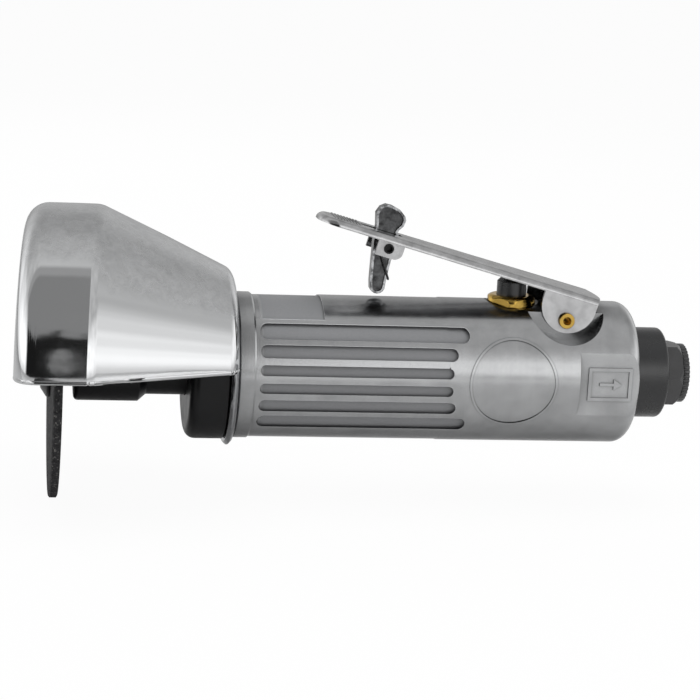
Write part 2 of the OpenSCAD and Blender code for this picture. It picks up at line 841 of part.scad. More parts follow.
// Plan of the lever at a distance inside its edge, as a ring of points at height z
corner_steps = 8;
function lever_ring(inset, z) =
    let (r = tip_round - inset, x = lever_tail + over, step = (90 - taper) / corner_steps,
         y = tip_y + r * cos(taper) + (x - tip_x + r * sin(taper)) * tan(taper))
    concat(
        [[x, -y, z], [x, y, z]],
        [for (i = [0:corner_steps]) let (a = 90 + taper + i * step) [tip_x + r * cos(a), tip_y + r * sin(a), z]],
        [for (i = [0:corner_steps]) let (a = 180 + i * step) [tip_x + r * cos(a), r * sin(a) - tip_y, z]]);

// A block under the sheet's face, with its upper edge rounded
module lever_block(inset, z0) {
    r = fold_r - inset;
    top = lever_rise - inset;
    skin(concat([lever_ring(inset, z0)],
        [for (a = [0:15:90]) lever_ring(inset + r * (1 - cos(a)), top - r + r * sin(a))]));
}

// Side view of the lever: the rim, the hinge's ears and the lock's lugs
module lever_side_view() {
    rotate([90, 0, 0]) translate([0, 0, -lever_w]) linear_extrude(2 * lever_w) union() {
        translate([-lever_reach - over, lever_rise - lever_rim])
            square([lever_reach + over + lever_tail, lever_rim + over]);
        translate([ear_x, ear_z]) circle(ear_r);
        translate([ear_x - ear_r, ear_z]) square([2 * ear_r, lever_rise - ear_z]);
        translate([lug[0], lug[2] + lug_round]) square([lug[1] - lug[0], lever_rise - lug[2] - lug_round]);
        translate([lug[0], lug[2]]) square([lug[1] - lug[0] - lug_round, lug_round + over]);
        translate([lug[1] - lug_round, lug[2] + lug_round]) circle(lug_round);
    }
}

// The space that the lever fills in plan: its tail ends in a bow between the ears
bow_half = half_at(ear_end);
bow_r = (bow_half * bow_half + tail_bow * tail_bow) / (2 * tail_bow);
module tail_plan() {
    translate([0, 0, -lever_w]) linear_extrude(2 * lever_w) union() {
        translate([-lever_reach - over, -lever_w]) square([lever_reach + over + ear_x, 2 * lever_w]);
        intersection() {
            translate([lever_tail - bow_r, 0]) circle(bow_r, $fn = 180);
            translate([-over, -lever_w]) square([lever_tail + 2 * over, 2 * lever_w]);
        }
    }
}

ridge_pitch = 0.9;
ridge_count = 9;
ridge_h = 0.22;
ridge_front = 71;
ridge_half = 5;
module lever_ridges() {
    for (i = [0:ridge_count - 1])
        translate([i * ridge_pitch - ridge_front, -ridge_half, lever_rise - 0.2])
            cube([ridge_pitch / 2, 2 * ridge_half, ridge_h + 0.2]);
}

module throttle_lever() {
    color("gainsboro") on_lever() difference() {
        union() {
            intersection() {
                difference() {
                    lever_block(0, ear_z - ear_r - over);
                    lever_block(lever_t, ear_z - ear_r - 2 * over);
                }
                lever_side_view();
                tail_plan();
            }
            lever_ridges();
        }
        translate([-lock_reach - slot_front, -slot_half, 0])
            cube([slot_front + slot_rear, 2 * slot_half, lever_rise + over]);
        cross_rod(pin_d / 2 + run, 0, 0, -lever_w, lever_w);
        cross_rod(lock_pin_d / 2 + fit, -lock_reach, lock_rise, -lever_w, lever_w);
    }
}

// Hollow brass pin with a head on each side of the ears
pin_head_w = 1;
pin_hollow_d = 2.2;
module lever_pin() {
    half = half_at(pin_head_d / 2) + run;
    color("goldenrod") difference() {
        union() {
            cross_rod(pin_d / 2, x_pin, pin_z, -half, half);
            for (s = [-1, 1]) {
                y0 = s > 0 ? half : -half - pin_head_w;
                cross_rod(pin_head_d / 2, x_pin, pin_z, y0, y0 + pin_head_w);
            }
        }
        cross_rod(pin_hollow_d / 2, x_pin, pin_z, -half - 2 * over, -half + 3);
        cross_rod(pin_hollow_d / 2, x_pin, pin_z, half - 3, half + 2 * over);
    }
}

lock_pin_half = half_at(-lock_reach);
module lock_pin() {
    half = lock_pin_half;
    color("dimgray") on_lever() difference() {
        cross_rod(lock_pin_d / 2, -lock_reach, lock_rise, -half - 0.3, half + 0.3);
        for (s = [-1, 1])
            cross_rod(lock_pin_d / 3, -lock_reach, lock_rise, s * half - 1.2, s * half + 1.2);
    }
}

// Lock lever, from its pin: x along the motor axis and z up, at rest

lock_x = x_pin - lock_reach * cos(lever_slope) + lock_rise * sin(lever_slope);
lock_z = pin_z + lock_reach * sin(lever_slope) + lock_rise * cos(lever_slope);
leg_tip = [-1.5, -11.7, 2.2];
lock_line = concat(
    [[-2.8, 9.1], [-2.7, 5.4], [-3.2, 1.2], [-3.5, -4.5], [-3.7, -10.2]],
    arc(leg_tip[0], leg_tip[1], leg_tip[2], 200, 340, 6),
    [[0.9, -10.1], [1.5, -6.7], [2, -4.4], [4.2, 2], [3.5, 3.6], [3.8, 4.2], [5.1, 5.4], [5.7, 7.1],
     [5.4, 8.2], [4, 9.9], [1.7, 11.1], [-0.1, 11.5], [-1.7, 10.8]]);
lock_rim = 0.7;
lock_boss_r = 2.9;

module lock_plate(half, rim) {
    translate([lock_x, half, lock_z]) rotate([90, 0, 0]) linear_extrude(2 * half) offset(delta = -rim)
        polygon(lock_line);
}

module lock_lever() {
    half = lock_t / 2;
    color("silver") difference() {
        translate([lock_x, half, lock_z]) rotate([90, 0, 0]) linear_extrude(lock_t) polygon(lock_line);
        for (s = [-1, 1])
            difference() {
                translate([0, s * lock_t / 2, 0]) lock_plate(lock_hollow, lock_rim);
                cross_rod(lock_boss_r, lock_x, lock_z, -lock_t, lock_t);
            }
        cross_rod(lock_pin_d / 2 + run, lock_x, lock_z, -lock_t, lock_t);
    }
}

// Torsion spring round the lock's pin: one leg under the lever's sheet, one down the lock's side

lock_coil_r = lock_pin_d / 2 + 0.2 + wire_d / 2;
lock_coil_pitch = 1.15;
lock_coil_y = -lock_t / 2 - 0.5;
hook_x = 1.45;
hook_z = -9.7;
coil_start = 205;
coil_sweep = 360 * lock_turns + coil_start - 90 + lever_slope;
coil_steps = round(coil_sweep * rings_per_turn / 360);
web_arm = 5;
function on_lock(x, y, z) = [lock_x + x, y, lock_z + z];
function lock_path() =
    let (r = lock_coil_r, y0 = lock_coil_y, y1 = y0 - lock_coil_pitch * coil_sweep / 360,
         a0 = [r * cos(coil_start), r * sin(coil_start)], foot = [hook_x, hook_z],
         e = [r * sin(lever_slope), r * cos(lever_slope)], d = [cos(lever_slope), -sin(lever_slope)])
    concat(
        [on_lock(hook_x, lock_t / 2, hook_z), on_lock(hook_x, y0 + 0.6, hook_z),
         on_lock(hook_x - 0.05, y0 + 0.2, hook_z + 0.15), on_lock(hook_x - 0.2, y0, hook_z + 0.6)],
        [for (t = [0.35, 0.65, 0.9]) let (p = foot * (1 - t) + a0 * t) on_lock(p[0], y0, p[1])],
        [for (i = [0:coil_steps]) let (a = coil_start - coil_sweep * i / coil_steps)
            on_lock(r * cos(a), y0 + (y1 - y0) * i / coil_steps, r * sin(a))],
        [for (t = [0.5, 1]) on_lock(e[0] + web_arm * t * d[0], y1, e[1] + web_arm * t * d[1])]);

module lock_spring() {
    echo(str("lock spring least gap ", least_gap(lock_path(), wire_d / 2)));
    color([0.15, 0.15, 0.15]) wire(lock_path(), wire_d / 2, [1, 0, 0]);
}

// Inlet bushing, screen, seal and exhaust collar

knurl_cuts = 40;
knurl_cut_r = 0.3;
module hexagon() {
    r = hex_af / sqrt(3);
    bevel = 0.9;
    intersection() {
        translate([x_hex, 0, 0]) rotate([0, 90, 0]) rotate([0, 0, 30]) cylinder(r = r, h = hex_w, $fn = 6);
        turned([[0, x_hex], [r, x_hex], [r, x_hex + hex_w - bevel * 1.6],
            [r - bevel * 1.2, x_hex + hex_w], [0, x_hex + hex_w]]);
    }
}

module inlet_bushing() {
    step_r = 4.5;
    color("dimgray") difference() {
        union() {
            rod(plug_r, x_rear - plug_len, x_rear);
            rod(shoulder_r, x_rear - 0.01, x_hex + 0.01);
            hexagon();
            rod(knurl_d / 2 - 0.8, x_hex + hex_w - over, -knurl_w + 0.5);
            difference() {
                rod(knurl_d / 2, -knurl_w, 0);
                for (i = [0:knurl_cuts - 1])
                    rotate([360 * i / knurl_cuts, 0, 0]) translate([0, 0, knurl_d / 2])
                        rod(knurl_cut_r, -knurl_w - over, over);
            }
        }
        rod(inlet_r, -inlet_len, over);
        rod(step_r, x_rear - plug_len - over, over);
    }
}

screen_hole_r = 0.6;
module inlet_screen() {
    r = 4.5 - fit;
    color("silver") difference() {
        rod(r, -inlet_len - 1.4, -inlet_len - 0.8);
        rod(screen_hole_r, -inlet_len - 2.4, -inlet_len + over);
        for (ring = [1, 2]) for (i = [0:6 * ring - 1])
            rotate([60 * i / ring, 0, 0]) translate([0, 0, 1.7 * ring])
                rod(screen_hole_r, -inlet_len - 2.4, -inlet_len + over);
    }
}

module bushing_seal() {
    color("black") washer(plug_r, 5.2, x_rear - plug_len - bushing_seal_w, x_rear - plug_len);
}

cavity_in = 9.3;
cavity_out = 12.1;
collar_wall = 1.9;
outlet_r = 0.8;
outlet_ring_r = 11;
module exhaust_collar() {
    r = collar_d / 2;
    x0 = x_rear + face;
    x1 = x_hex - face;
    color([0.13, 0.13, 0.13]) difference() {
        turned(concat([[0, x0], [r, x0]], arc(r - 1, x1 - 1, 1, 0, 90, 4), [[0, x1]]));
        rod(shoulder_r + run, x0 - over, x1 + over);
        washer(cavity_out, cavity_in, x0 - over, x1 - collar_wall);
        for (a = [-60:20:60])
            rotate([a, 0, 0]) translate([0, 0, -outlet_ring_r]) rod(outlet_r, x1 - collar_wall - over, x1 + over);
    }
}

module exhaust_felt() {
    color("lightgray") washer(cavity_out - 0.1, cavity_in + 0.1, x_rear + 0.5,
        x_hex - face - collar_wall - 0.2);
}

motor_housing();
front_clamp_nut();
spindle_dust_seal();
front_end_plate();
motor_cylinder();
cylinder_dowel();
rear_end_plate();
housing_gasket();
front_bearing_outer_race();
rear_bearing_outer_race();
valve_bush();
valve_seat();
valve_spring();
lever_pin();
inlet_bushing();
inlet_screen();
bushing_seal();
guard_shell();
guard_plate();
rotor();
rotor_vanes();
spindle();
wheel_spacer();
cutting_wheel();
wheel_flange();
arbor_screw();
front_bearing_inner_race();
rear_bearing_inner_race();
front_bearing_balls();
front_bearing_cage();
rear_bearing_balls();
rear_bearing_cage();
throttle_lever();
lock_pin();
lock_lever();
lock_spring();
valve_button();
button_seal();
valve_stem();
exhaust_collar();
exhaust_felt();
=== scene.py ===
import math

import bmesh
import bpy
from bpy.props import FloatProperty, FloatVectorProperty, PointerProperty
from mathutils import Matrix, Vector, noise


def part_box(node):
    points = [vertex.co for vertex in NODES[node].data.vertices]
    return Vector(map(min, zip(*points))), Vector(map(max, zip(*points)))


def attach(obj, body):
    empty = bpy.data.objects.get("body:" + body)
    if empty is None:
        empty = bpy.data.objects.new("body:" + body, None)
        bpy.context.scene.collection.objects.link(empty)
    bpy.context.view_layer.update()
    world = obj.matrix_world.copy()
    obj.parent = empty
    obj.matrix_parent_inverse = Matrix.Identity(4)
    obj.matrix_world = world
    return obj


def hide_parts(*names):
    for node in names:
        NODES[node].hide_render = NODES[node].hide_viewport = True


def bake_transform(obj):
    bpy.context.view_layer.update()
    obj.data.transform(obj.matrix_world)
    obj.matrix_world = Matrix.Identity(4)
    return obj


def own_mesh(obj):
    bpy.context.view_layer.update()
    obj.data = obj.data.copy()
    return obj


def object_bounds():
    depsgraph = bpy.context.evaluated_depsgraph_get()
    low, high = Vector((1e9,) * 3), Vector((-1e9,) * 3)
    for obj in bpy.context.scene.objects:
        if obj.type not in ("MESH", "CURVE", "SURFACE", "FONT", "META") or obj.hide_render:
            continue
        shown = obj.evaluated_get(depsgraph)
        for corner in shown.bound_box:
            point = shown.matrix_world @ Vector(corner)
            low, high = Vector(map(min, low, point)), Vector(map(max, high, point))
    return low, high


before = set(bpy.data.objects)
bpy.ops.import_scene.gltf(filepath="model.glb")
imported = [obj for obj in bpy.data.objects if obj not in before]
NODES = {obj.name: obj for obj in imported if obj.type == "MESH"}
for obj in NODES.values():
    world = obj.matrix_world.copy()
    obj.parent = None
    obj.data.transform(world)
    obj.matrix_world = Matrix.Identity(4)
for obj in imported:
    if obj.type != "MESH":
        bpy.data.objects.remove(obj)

bl_info = {
    "name": "Air Cut-off Grinder",
    "version": (1, 0, 0),
    "blender": (4, 5, 0),
    "location": "View3D > Sidebar > Grinder",
    "description": "Finished pieces and studio for the packed cut-off grinder",
    "category": "Object",
}

MM = 0.001
CAD_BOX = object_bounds()
X_AXIS = Vector((1, 0, 0))
# Corners nearer to each other than this are one: in a CAD mesh, and in a mesh made here
CAD_WELD = 0.0005 * MM
WELD = 0.001 * MM


def linear(code):
    """An sRGB hex colour as the linear colour that the shaders take."""
    parts = [int(code[i:i + 2], 16) / 255 for i in (1, 3, 5)]
    return tuple(c / 12.92 if c <= 0.04045 else ((c + 0.055) / 1.055) ** 2.4 for c in parts)


def colour(name, description, code):
    return FloatVectorProperty(name=name, description=description, subtype="COLOR", size=3, min=0, max=1,
                               default=linear(code))


def length(name, description, millimetres):
    return FloatProperty(name=name, description=description, unit="LENGTH", subtype="DISTANCE", min=0,
                         precision=5, default=millimetres * MM)


# Sizes and colours that a user would change
class GrinderSizes(bpy.types.PropertyGroup):
    sheet: length("Guard sheet", "Thickness of the guard's sheet steel", 1.5)
    drum: length("Drum length", "Length of the guard's drum from its front face to the crease", 20.4)
    front_corner: length("Front corner", "Outer radius of the guard's front corner", 6)
    crease: length("Crease", "How far the crease between drum and cone is rounded", 1.3)
    rear_corner: length("Rear corner", "Outer radius of the guard's rear corner", 4)
    lip: length("Lip", "Inner radius of the lip at the guard's open front", 34)
    skew: length("Guard skew", "How much farther forward the guard's near side reaches than its crown", 3.5)
    bulge: length("Drum bulge", "How far the middle of the drum's sheet stands out of a straight line", 0.06)
    bead: length("Hem bead", "Radius of the rolled hem along the guard's cut edge", 0.85)
    cast_edge: length("Cast edge", "Rounding of the housing's edges", 0.3)
    lever_edge: length("Lever edge", "Rounding of the lever's sheet edges", 0.28)
    lock_wire: length("Lock spring wire", "Wire diameter of the lock's spring", 0.55)
    valve_wire: length("Valve spring wire", "Wire diameter of the valve's spring", 0.7)
    thread_pitch: length("Thread pitch", "Pitch of the inlet's pipe thread, 18 turns to the inch", 1.411)
    rim_wear: length("Rim wear", "How uneven the cutting wheel's worn rim is", 0.12)


class GrinderColours(bpy.types.PropertyGroup):
    chrome: colour("Guard chrome", "Polished chromed sheet of the guard", "#e2e3e4")
    cast: colour("Cast alloy", "Satin cast aluminium of the housing", "#c9cacb")
    cast_low: colour("Cast alloy, low", "Unpolished floors of the housing's grooves", "#8d8e90")
    nickel: colour("Lever nickel", "Satin nickel plating of the lever", "#cdcdce")
    lock: colour("Lock chrome", "Bright chrome of the lock", "#b6b7b9")
    brass: colour("Brass", "Turned brass of the bush and pin", "#d8b25a")
    oxide: colour("Black oxide", "Blackened steel of the clamp nut and spindle", "#0e0e10")
    gunmetal: colour("Gunmetal", "Grey oxide of the inlet's hexagon", "#2b2b2c")
    plastic: colour("Black plastic", "Satin black of the collar and button", "#101113")
    grit: colour("Wheel grit", "Bonded grit of the cutting wheel", "#1e1e20")
    floor: colour("Floor", "Pale studio floor", "#e9e9e9")


def sizes():
    return bpy.context.scene.grinder_sizes


def colours():
    return bpy.context.scene.grinder_colours


# Materials

def add(tree, kind, inputs, **settings):
    """Adds a node with its settings; an input takes a value or another node's output."""
    node = tree.nodes.new(kind)
    for key, value in settings.items():
        setattr(node, key, value)
    for key, value in inputs.items():
        if isinstance(value, bpy.types.NodeSocket):
            tree.links.new(value, node.inputs[key])
        else:
            node.inputs[key].default_value = value
    return node


def blank(name):
    """A material with its shader and object coordinates, or None for the tree if it is made already."""
    found = bpy.data.materials.get(name)
    if found:
        return found, None, None, None
    material = bpy.data.materials.new(name)
    material.use_nodes = True
    tree = material.node_tree
    shader = tree.nodes["Principled BSDF"]
    place = add(tree, "ShaderNodeTexCoord", {}).outputs["Object"]
    return material, tree, shader, place


def stretched(tree, place, grain, slope=0):
    """Noise whose grain has that many millimetres along x, y and z, turned round y by the slope."""
    moved = add(tree, "ShaderNodeMapping", {"Vector": place, "Scale": [g * MM for g in grain],
                                            "Rotation": (0, math.radians(slope), 0)}, vector_type="TEXTURE")
    return add(tree, "ShaderNodeTexNoise", {"Vector": moved.outputs[0], "Scale": 1.0, "Detail": 3.0,
                                            "Roughness": 0.6}).outputs["Fac"]


def spots(tree, place, millimetres, detail=4.0, rough=0.55, swirl=0.0):
    """Even noise whose spots are that many millimetres across, curled by the swirl."""
    return add(tree, "ShaderNodeTexNoise", {
        "Vector": place, "Scale": 1 / (millimetres * MM), "Detail": detail, "Roughness": rough,
        "Distortion": swirl}).outputs["Fac"]


def between(tree, value, low, high, start=0.3, end=0.7):
    """A value that runs from low to high while the pattern runs from start to end."""
    return add(tree, "ShaderNodeMapRange", {"Value": value, "From Min": start, "From Max": end, "To Min": low,
                                            "To Max": high}).outputs["Result"]


def maths(tree, operation, *values):
    """The result of one arithmetic node on those values."""
    return add(tree, "ShaderNodeMath", dict(enumerate(values)), operation=operation).outputs[0]


def product(tree, one, other):
    return maths(tree, "MULTIPLY", one, other)


def mixed(tree, share, one, other):
    """The value that lies that share of the way from one to the other."""
    return add(tree, "ShaderNodeMix", {0: share, 2: one, 3: other}).outputs[0]


def tinted(tree, share, one, other, way="MIX"):
    """One colour, changed by that share of the other."""
    return add(tree, "ShaderNodeMix", {0: share, 6: one, 7: other}, data_type="RGBA",
               blend_type=way).outputs[2]


def coordinate(tree, place, axis):
    return add(tree, "ShaderNodeSeparateXYZ", {"Vector": place}).outputs[axis]


def shaded(tree, colour_value, low, high, pattern):
    """The colour, darkened and lightened by the pattern between two shares of itself."""
    dark = [c * low for c in colour_value] + [1]
    light = [min(1, c * high) for c in colour_value] + [1]
    return tinted(tree, pattern, dark, light)


def with_painted_shade(tree, tone, millimetres, darkest, start=0.35, end=0.85):
    """The colour with painted shade in corners and under cover, found by ambient occlusion, where it darkens
    to a share of itself.
    """
    corner = add(tree, "ShaderNodeAmbientOcclusion", {"Distance": millimetres * MM}, samples=6).outputs["AO"]
    return tinted(tree, 1.0, tone, between(tree, corner, darkest, 1.0, start, end), "MULTIPLY")


def bumped(tree, shader, height, depth, strength=1.0, under=None):
    """Bump of that many millimetres on the shader, over another bump if there is one."""
    inputs = {"Height": height, "Distance": depth * MM, "Strength": strength}
    if under is not None:
        inputs["Normal"] = under
    bump = add(tree, "ShaderNodeBump", inputs).outputs["Normal"]
    tree.links.new(bump, shader.inputs["Normal"])
    return bump


def guard_chrome():
    """Chromed sheet steel, buffed: mirror clear on its sides, cloudy and hazed over its crown."""
    material, tree, shader, place = blank("chromed polished sheet steel")
    if not tree:
        return material
    shader.inputs["Metallic"].default_value = 1
    haze = spots(tree, place, 9, detail=5)
    clouds = spots(tree, place, 3.2, detail=6, rough=0.7, swirl=1.0)
    swirls = spots(tree, place, 1.1, detail=3, swirl=3.0)
    rise = maths(tree, "DIVIDE", coordinate(tree, place, "Z"), radius_from_axis(tree, place))
    lower_on_cone = between(tree, coordinate(tree, place, "X"), 0.0, 0.14, -0.173, -0.168)
    crown = between(tree, maths(tree, "ADD", rise, lower_on_cone), 0.0, 1.0, 0.72, 0.8)
    mirror = between(tree, haze, 0.04, 0.09)
    hazed = between(tree, haze, 0.22, 0.34)
    tree.links.new(mixed(tree, crown, mirror, hazed), shader.inputs["Roughness"])
    veil = mixed(tree, 0.35, between(tree, clouds, 0, 1), between(tree, swirls, 0, 1))
    cloudy = mixed(tree, crown, 0.75, veil)
    tree.links.new(shaded(tree, colours().chrome, 0.76, 1.08, cloudy), shader.inputs["Base Color"])
    soft = bumped(tree, shader, haze, 0.05, 0.25)
    bumped(tree, shader, product(tree, clouds, crown), 0.012, 0.35, under=soft)
    return material


def radius_from_axis(tree, place):
    """Distance from the motor axis, in metres."""
    flat = add(tree, "ShaderNodeVectorMath", {0: place, 1: (0, 1, 1)}, operation="MULTIPLY").outputs[0]
    return add(tree, "ShaderNodeVectorMath", {0: flat}, operation="LENGTH").outputs["Value"]


def cast_alloy():
    """Die-cast aluminium, brushed on its round faces and left grey and matte in its recesses, with painted
    shade under the lever and in creases and painted highlights on its groove rims.
    """
    material, tree, shader, place = blank("satin die-cast aluminium")
    if not tree:
        return material
    clouds = spots(tree, place, 7, detail=5)
    brushing = stretched(tree, place, (0.22, 14, 14))
    casting = spots(tree, place, 0.5, detail=2)
    radius = radius_from_axis(tree, place)
    along = coordinate(tree, place, "X")
    # In metres: the ends of the grooved length, the radius below which lies a floor, and that of the skin
    front, rear, recess, skin = -0.125, -0.067, 0.0199, 0.02
    grooved = product(tree, between(tree, along, 1.0, 0.0, rear - 0.0005, rear + 0.0005),
                      between(tree, along, 0.0, 1.0, front - 0.0005, front + 0.0005))
    low = product(tree, grooved, between(tree, radius, 1.0, 0.0, recess - 0.00003, recess + 0.00002))
    # Painted highlight: the rounded outer rims of the grooves, found with a bevel normal, turn pale and less
    # metallic
    turned = add(tree, "ShaderNodeBevel", {"Radius": 0.3 * MM}, samples=6).outputs["Normal"]
    square = add(tree, "ShaderNodeNewGeometry", {}).outputs["True Normal"]
    same = add(tree, "ShaderNodeVectorMath", {0: turned, 1: square}, operation="DOT_PRODUCT").outputs["Value"]
    edge = product(tree, between(tree, same, 1.0, 0.0, 0.85, 0.97),
                   between(tree, radius, 0.0, 0.8, skin - 0.00004, skin + 0.00004))
    rim = product(tree, edge, grooved)
    face = shaded(tree, colours().cast, 0.84, 1.06, between(tree, clouds, 0, 1))
    brushed = shaded(tree, (1, 1, 1), 0.9, 1.0, brushing)
    polished = tinted(tree, 1.0, face, brushed, "MULTIPLY")
    floor = shaded(tree, colours().cast_low, 0.88, 1.06, casting)
    tone = tinted(tree, low, polished, floor)
    # Painted shade: darker under the lever and other covering parts, and along inner edges and creases
    shaded_under_lever = with_painted_shade(tree, tone, 24, 0.58, 0.62, 0.92)
    shaded_in_creases = with_painted_shade(tree, shaded_under_lever, 0.5, 0.75, 0.25, 0.7)
    rims_highlit = tinted(tree, rim, shaded_in_creases, (*linear("#dcdddf"), 1))
    tree.links.new(rims_highlit, shader.inputs["Base Color"])
    tree.links.new(product(tree, between(tree, low, 1.0, 0.35, 0, 1), between(tree, rim, 1.0, 0.3, 0, 1)),
                   shader.inputs["Metallic"])
    tree.links.new(mixed(tree, low, between(tree, clouds, 0.16, 0.26), 0.5), shader.inputs["Roughness"])
    pitted = bumped(tree, shader, casting, 0.03, 0.3)
    bumped(tree, shader, brushing, 0.006, 0.5, under=pitted)
    return material


def lever_nickel():
    """Nickel-plated sheet steel, brushed along its length: a soft sheen with faint lines, and painted shade
    where its own sheet covers it.
    """
    material, tree, shader, place = blank("satin nickel-plated sheet")
    if not tree:
        return material
    shader.inputs["Metallic"].default_value = 1
    lines = stretched(tree, place, (9, 0.2, 0.2), slope=15)
    clouds = spots(tree, place, 3, detail=6)
    tone = shaded(tree, colours().nickel, 0.7, 1.12, between(tree, clouds, 0, 1))
    # Painted shade in the lever's corners and under its web, found by ambient occlusion
    tree.links.new(with_painted_shade(tree, tone, 2.5, 0.3, 0.35, 0.9), shader.inputs["Base Color"])
    tree.links.new(between(tree, clouds, 0.1, 0.24), shader.inputs["Roughness"])
    faint = bumped(tree, shader, clouds, 0.02, 0.3)
    bumped(tree, shader, lines, 0.006, 0.5, under=faint)
    return material


def plated(name, tint, smooth, rough, wave):
    """Bright plating over pressed or ground steel: clear reflections that waver a little."""
    material, tree, shader, place = blank(name)
    if not tree:
        return material
    shader.inputs["Metallic"].default_value = 1
    ripple = spots(tree, place, wave, detail=3)
    tree.links.new(shaded(tree, tint, 0.86, 1.04, between(tree, ripple, 0, 1)), shader.inputs["Base Color"])
    tree.links.new(between(tree, ripple, smooth, rough), shader.inputs["Roughness"])
    bumped(tree, shader, ripple, 0.03, 0.3)
    return material


def turned_metal(name, tint, smooth, rough, grain=(0.16, 6, 6)):
    """Turned or ground metal: fine rings square to its axis, duller where oil and air have dimmed it."""
    material, tree, shader, place = blank(name)
    if not tree:
        return material
    shader.inputs["Metallic"].default_value = 1
    rings = stretched(tree, place, grain)
    dull = spots(tree, place, 2.5)
    tree.links.new(shaded(tree, tint, 0.72, 1.05, between(tree, dull, 0, 1)), shader.inputs["Base Color"])
    tree.links.new(between(tree, dull, smooth, rough), shader.inputs["Roughness"])
    bumped(tree, shader, rings, 0.008, 0.5)
    return material


def satin_dark(name, tint, smooth, rough, grain, ior=1.5, sheen=0.36):
    """Dark oxide or moulded black: a low even sheen over a very fine grain."""
    material, tree, shader, place = blank(name)
    if not tree:
        return material
    shader.inputs["IOR"].default_value = ior
    shader.inputs["Specular IOR Level"].default_value = sheen
    texture = spots(tree, place, grain, detail=2)
    hand = spots(tree, place, 6)
    tree.links.new(shaded(tree, tint, 0.8, 1.25, between(tree, hand, 0, 1)), shader.inputs["Base Color"])
    tree.links.new(between(tree, hand, smooth, rough), shader.inputs["Roughness"])
    bumped(tree, shader, texture, 0.015, 0.4)
    return material


def wheel_grit():
    """Resin-bonded grit: a dark rough face with single pale and black grains, 0.4 mm across."""
    material, tree, shader, place = blank("resin-bonded abrasive grit")
    if not tree:
        return material
    cells = add(tree, "ShaderNodeTexVoronoi", {"Vector": place, "Scale": 1 / (0.42 * MM)}, feature="F1")
    grains = add(tree, "ShaderNodeSeparateColor", {"Color": cells.outputs["Color"]}).outputs[0]
    clumps = spots(tree, place, 2.2)
    base = shaded(tree, colours().grit, 0.5, 1.7, between(tree, clumps, 0, 1))
    bright = between(tree, grains, 0.0, 0.24, 0.88, 0.98)
    tree.links.new(tinted(tree, bright, base, (*linear("#b9b7b2"), 1)), shader.inputs["Base Color"])
    tree.links.new(between(tree, grains, 0.55, 0.95, 0, 1), shader.inputs["Roughness"])
    bumped(tree, shader, cells.outputs["Distance"], 0.25, 0.8)
    return material


def fibrous(name, tint, millimetres, rough):
    """Felt or pressed fibre: no gloss, with strands and specks of its own thickness."""
    material, tree, shader, place = blank(name)
    if not tree:
        return material
    strands = spots(tree, place, millimetres, detail=6, rough=0.7)
    tree.links.new(shaded(tree, tint, 0.6, 1.2, between(tree, strands, 0, 1)), shader.inputs["Base Color"])
    shader.inputs["Roughness"].default_value = rough
    bumped(tree, shader, strands, 0.15, 0.6)
    return material


def oxide():
    return satin_dark("satin black oxide on steel", colours().oxide, 0.3, 0.4, 0.25)


def gunmetal():
    return satin_dark("grey phosphate on steel", colours().gunmetal, 0.26, 0.36, 0.25, ior=1.7, sheen=0.6)


def black_plastic():
    return satin_dark("moulded black nylon", colours().plastic, 0.22, 0.32, 0.4, sheen=0.9)


def brass():
    return turned_metal("turned brass", colours().brass, 0.1, 0.22, (6, 6, 0.16))


def ground_steel():
    return turned_metal("ground bearing steel", linear("#b9bbbd"), 0.14, 0.26)


def lock_chrome():
    """Bright plating on the lock's rim, with painted highlights and dark reflections along it; the hollows in
    its sides are dull, and darkened with painted shade.
    """
    material, tree, shader, place = blank("chromed lock casting")
    if not tree:
        return material
    shader.inputs["Metallic"].default_value = 1
    ripple = spots(tree, place, 1.6, detail=3)
    depth = maths(tree, "ABSOLUTE", coordinate(tree, place, "Y"))
    hollow = between(tree, depth, 1.0, 0.0, 0.0009, 0.0012)
    # Painted highlights and dark reflections: the rim's tone swings sharply between dark and bright spots
    rim = shaded(tree, colours().lock, 0.3, 1.2, between(tree, ripple, 0, 1, 0.4, 0.6))
    # Painted shade: the hollows' plating darkened to a small share of itself
    skin = shaded(tree, colours().lock, 0.08, 0.3, between(tree, ripple, 0, 1))
    tree.links.new(tinted(tree, hollow, rim, skin), shader.inputs["Base Color"])
    tree.links.new(mixed(tree, hollow, 0.08, 0.2), shader.inputs["Roughness"])
    bumped(tree, shader, ripple, 0.04, 0.4)
    return material


def spring_wire():
    return satin_dark("oil-blackened spring wire", linear("#1d1d1f"), 0.25, 0.35, 0.3, ior=2.0)


# Pieces

def radial(point):
    """The part of a place that leads straight away from the motor axis."""
    return Vector((0, point.y, point.z))


def piece(name, bm, body, material, smooth=35):
    """The mesh as an object on its body, or on none yet, smooth where its faces meet below that angle."""
    mesh = bpy.data.meshes.new(name)
    bm.to_mesh(mesh)
    bm.free()
    mesh.materials.clear()
    if "custom_normal" in mesh.attributes:
        mesh.attributes.remove(mesh.attributes["custom_normal"])
    for one in material if isinstance(material, list) else [material]:
        mesh.materials.append(one)
    mesh.shade_smooth()
    mesh.set_sharp_from_angle(angle=math.radians(smooth))
    thing = bpy.data.objects.new(name, mesh)
    bpy.context.scene.collection.objects.link(thing)
    even = thing.modifiers.new("even normals", "WEIGHTED_NORMAL")
    even.keep_sharp = True
    if body:
        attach(thing, body)
    return thing


def merged(node):
    """A merged copy of a CAD node's mesh, with its flat faces joined."""
    bm = bmesh.new()
    bm.from_mesh(NODES[node].data)
    bmesh.ops.remove_doubles(bm, verts=bm.verts, dist=CAD_WELD)
    bmesh.ops.dissolve_limit(bm, angle_limit=math.radians(0.25), verts=bm.verts, edges=bm.edges)
    return bm


def round_edges(bm, width, angle=32, segments=2):
    """Bevels the edges that are sharper than the angle."""
    sharp = [e for e in bm.edges if len(e.link_faces) == 2 and e.calc_face_angle(0) > math.radians(angle)]
    bmesh.ops.bevel(bm, geom=sharp, offset=width, offset_type="OFFSET", segments=segments, profile=0.5,
                    affect="EDGES", clamp_overlap=True, material=-1)


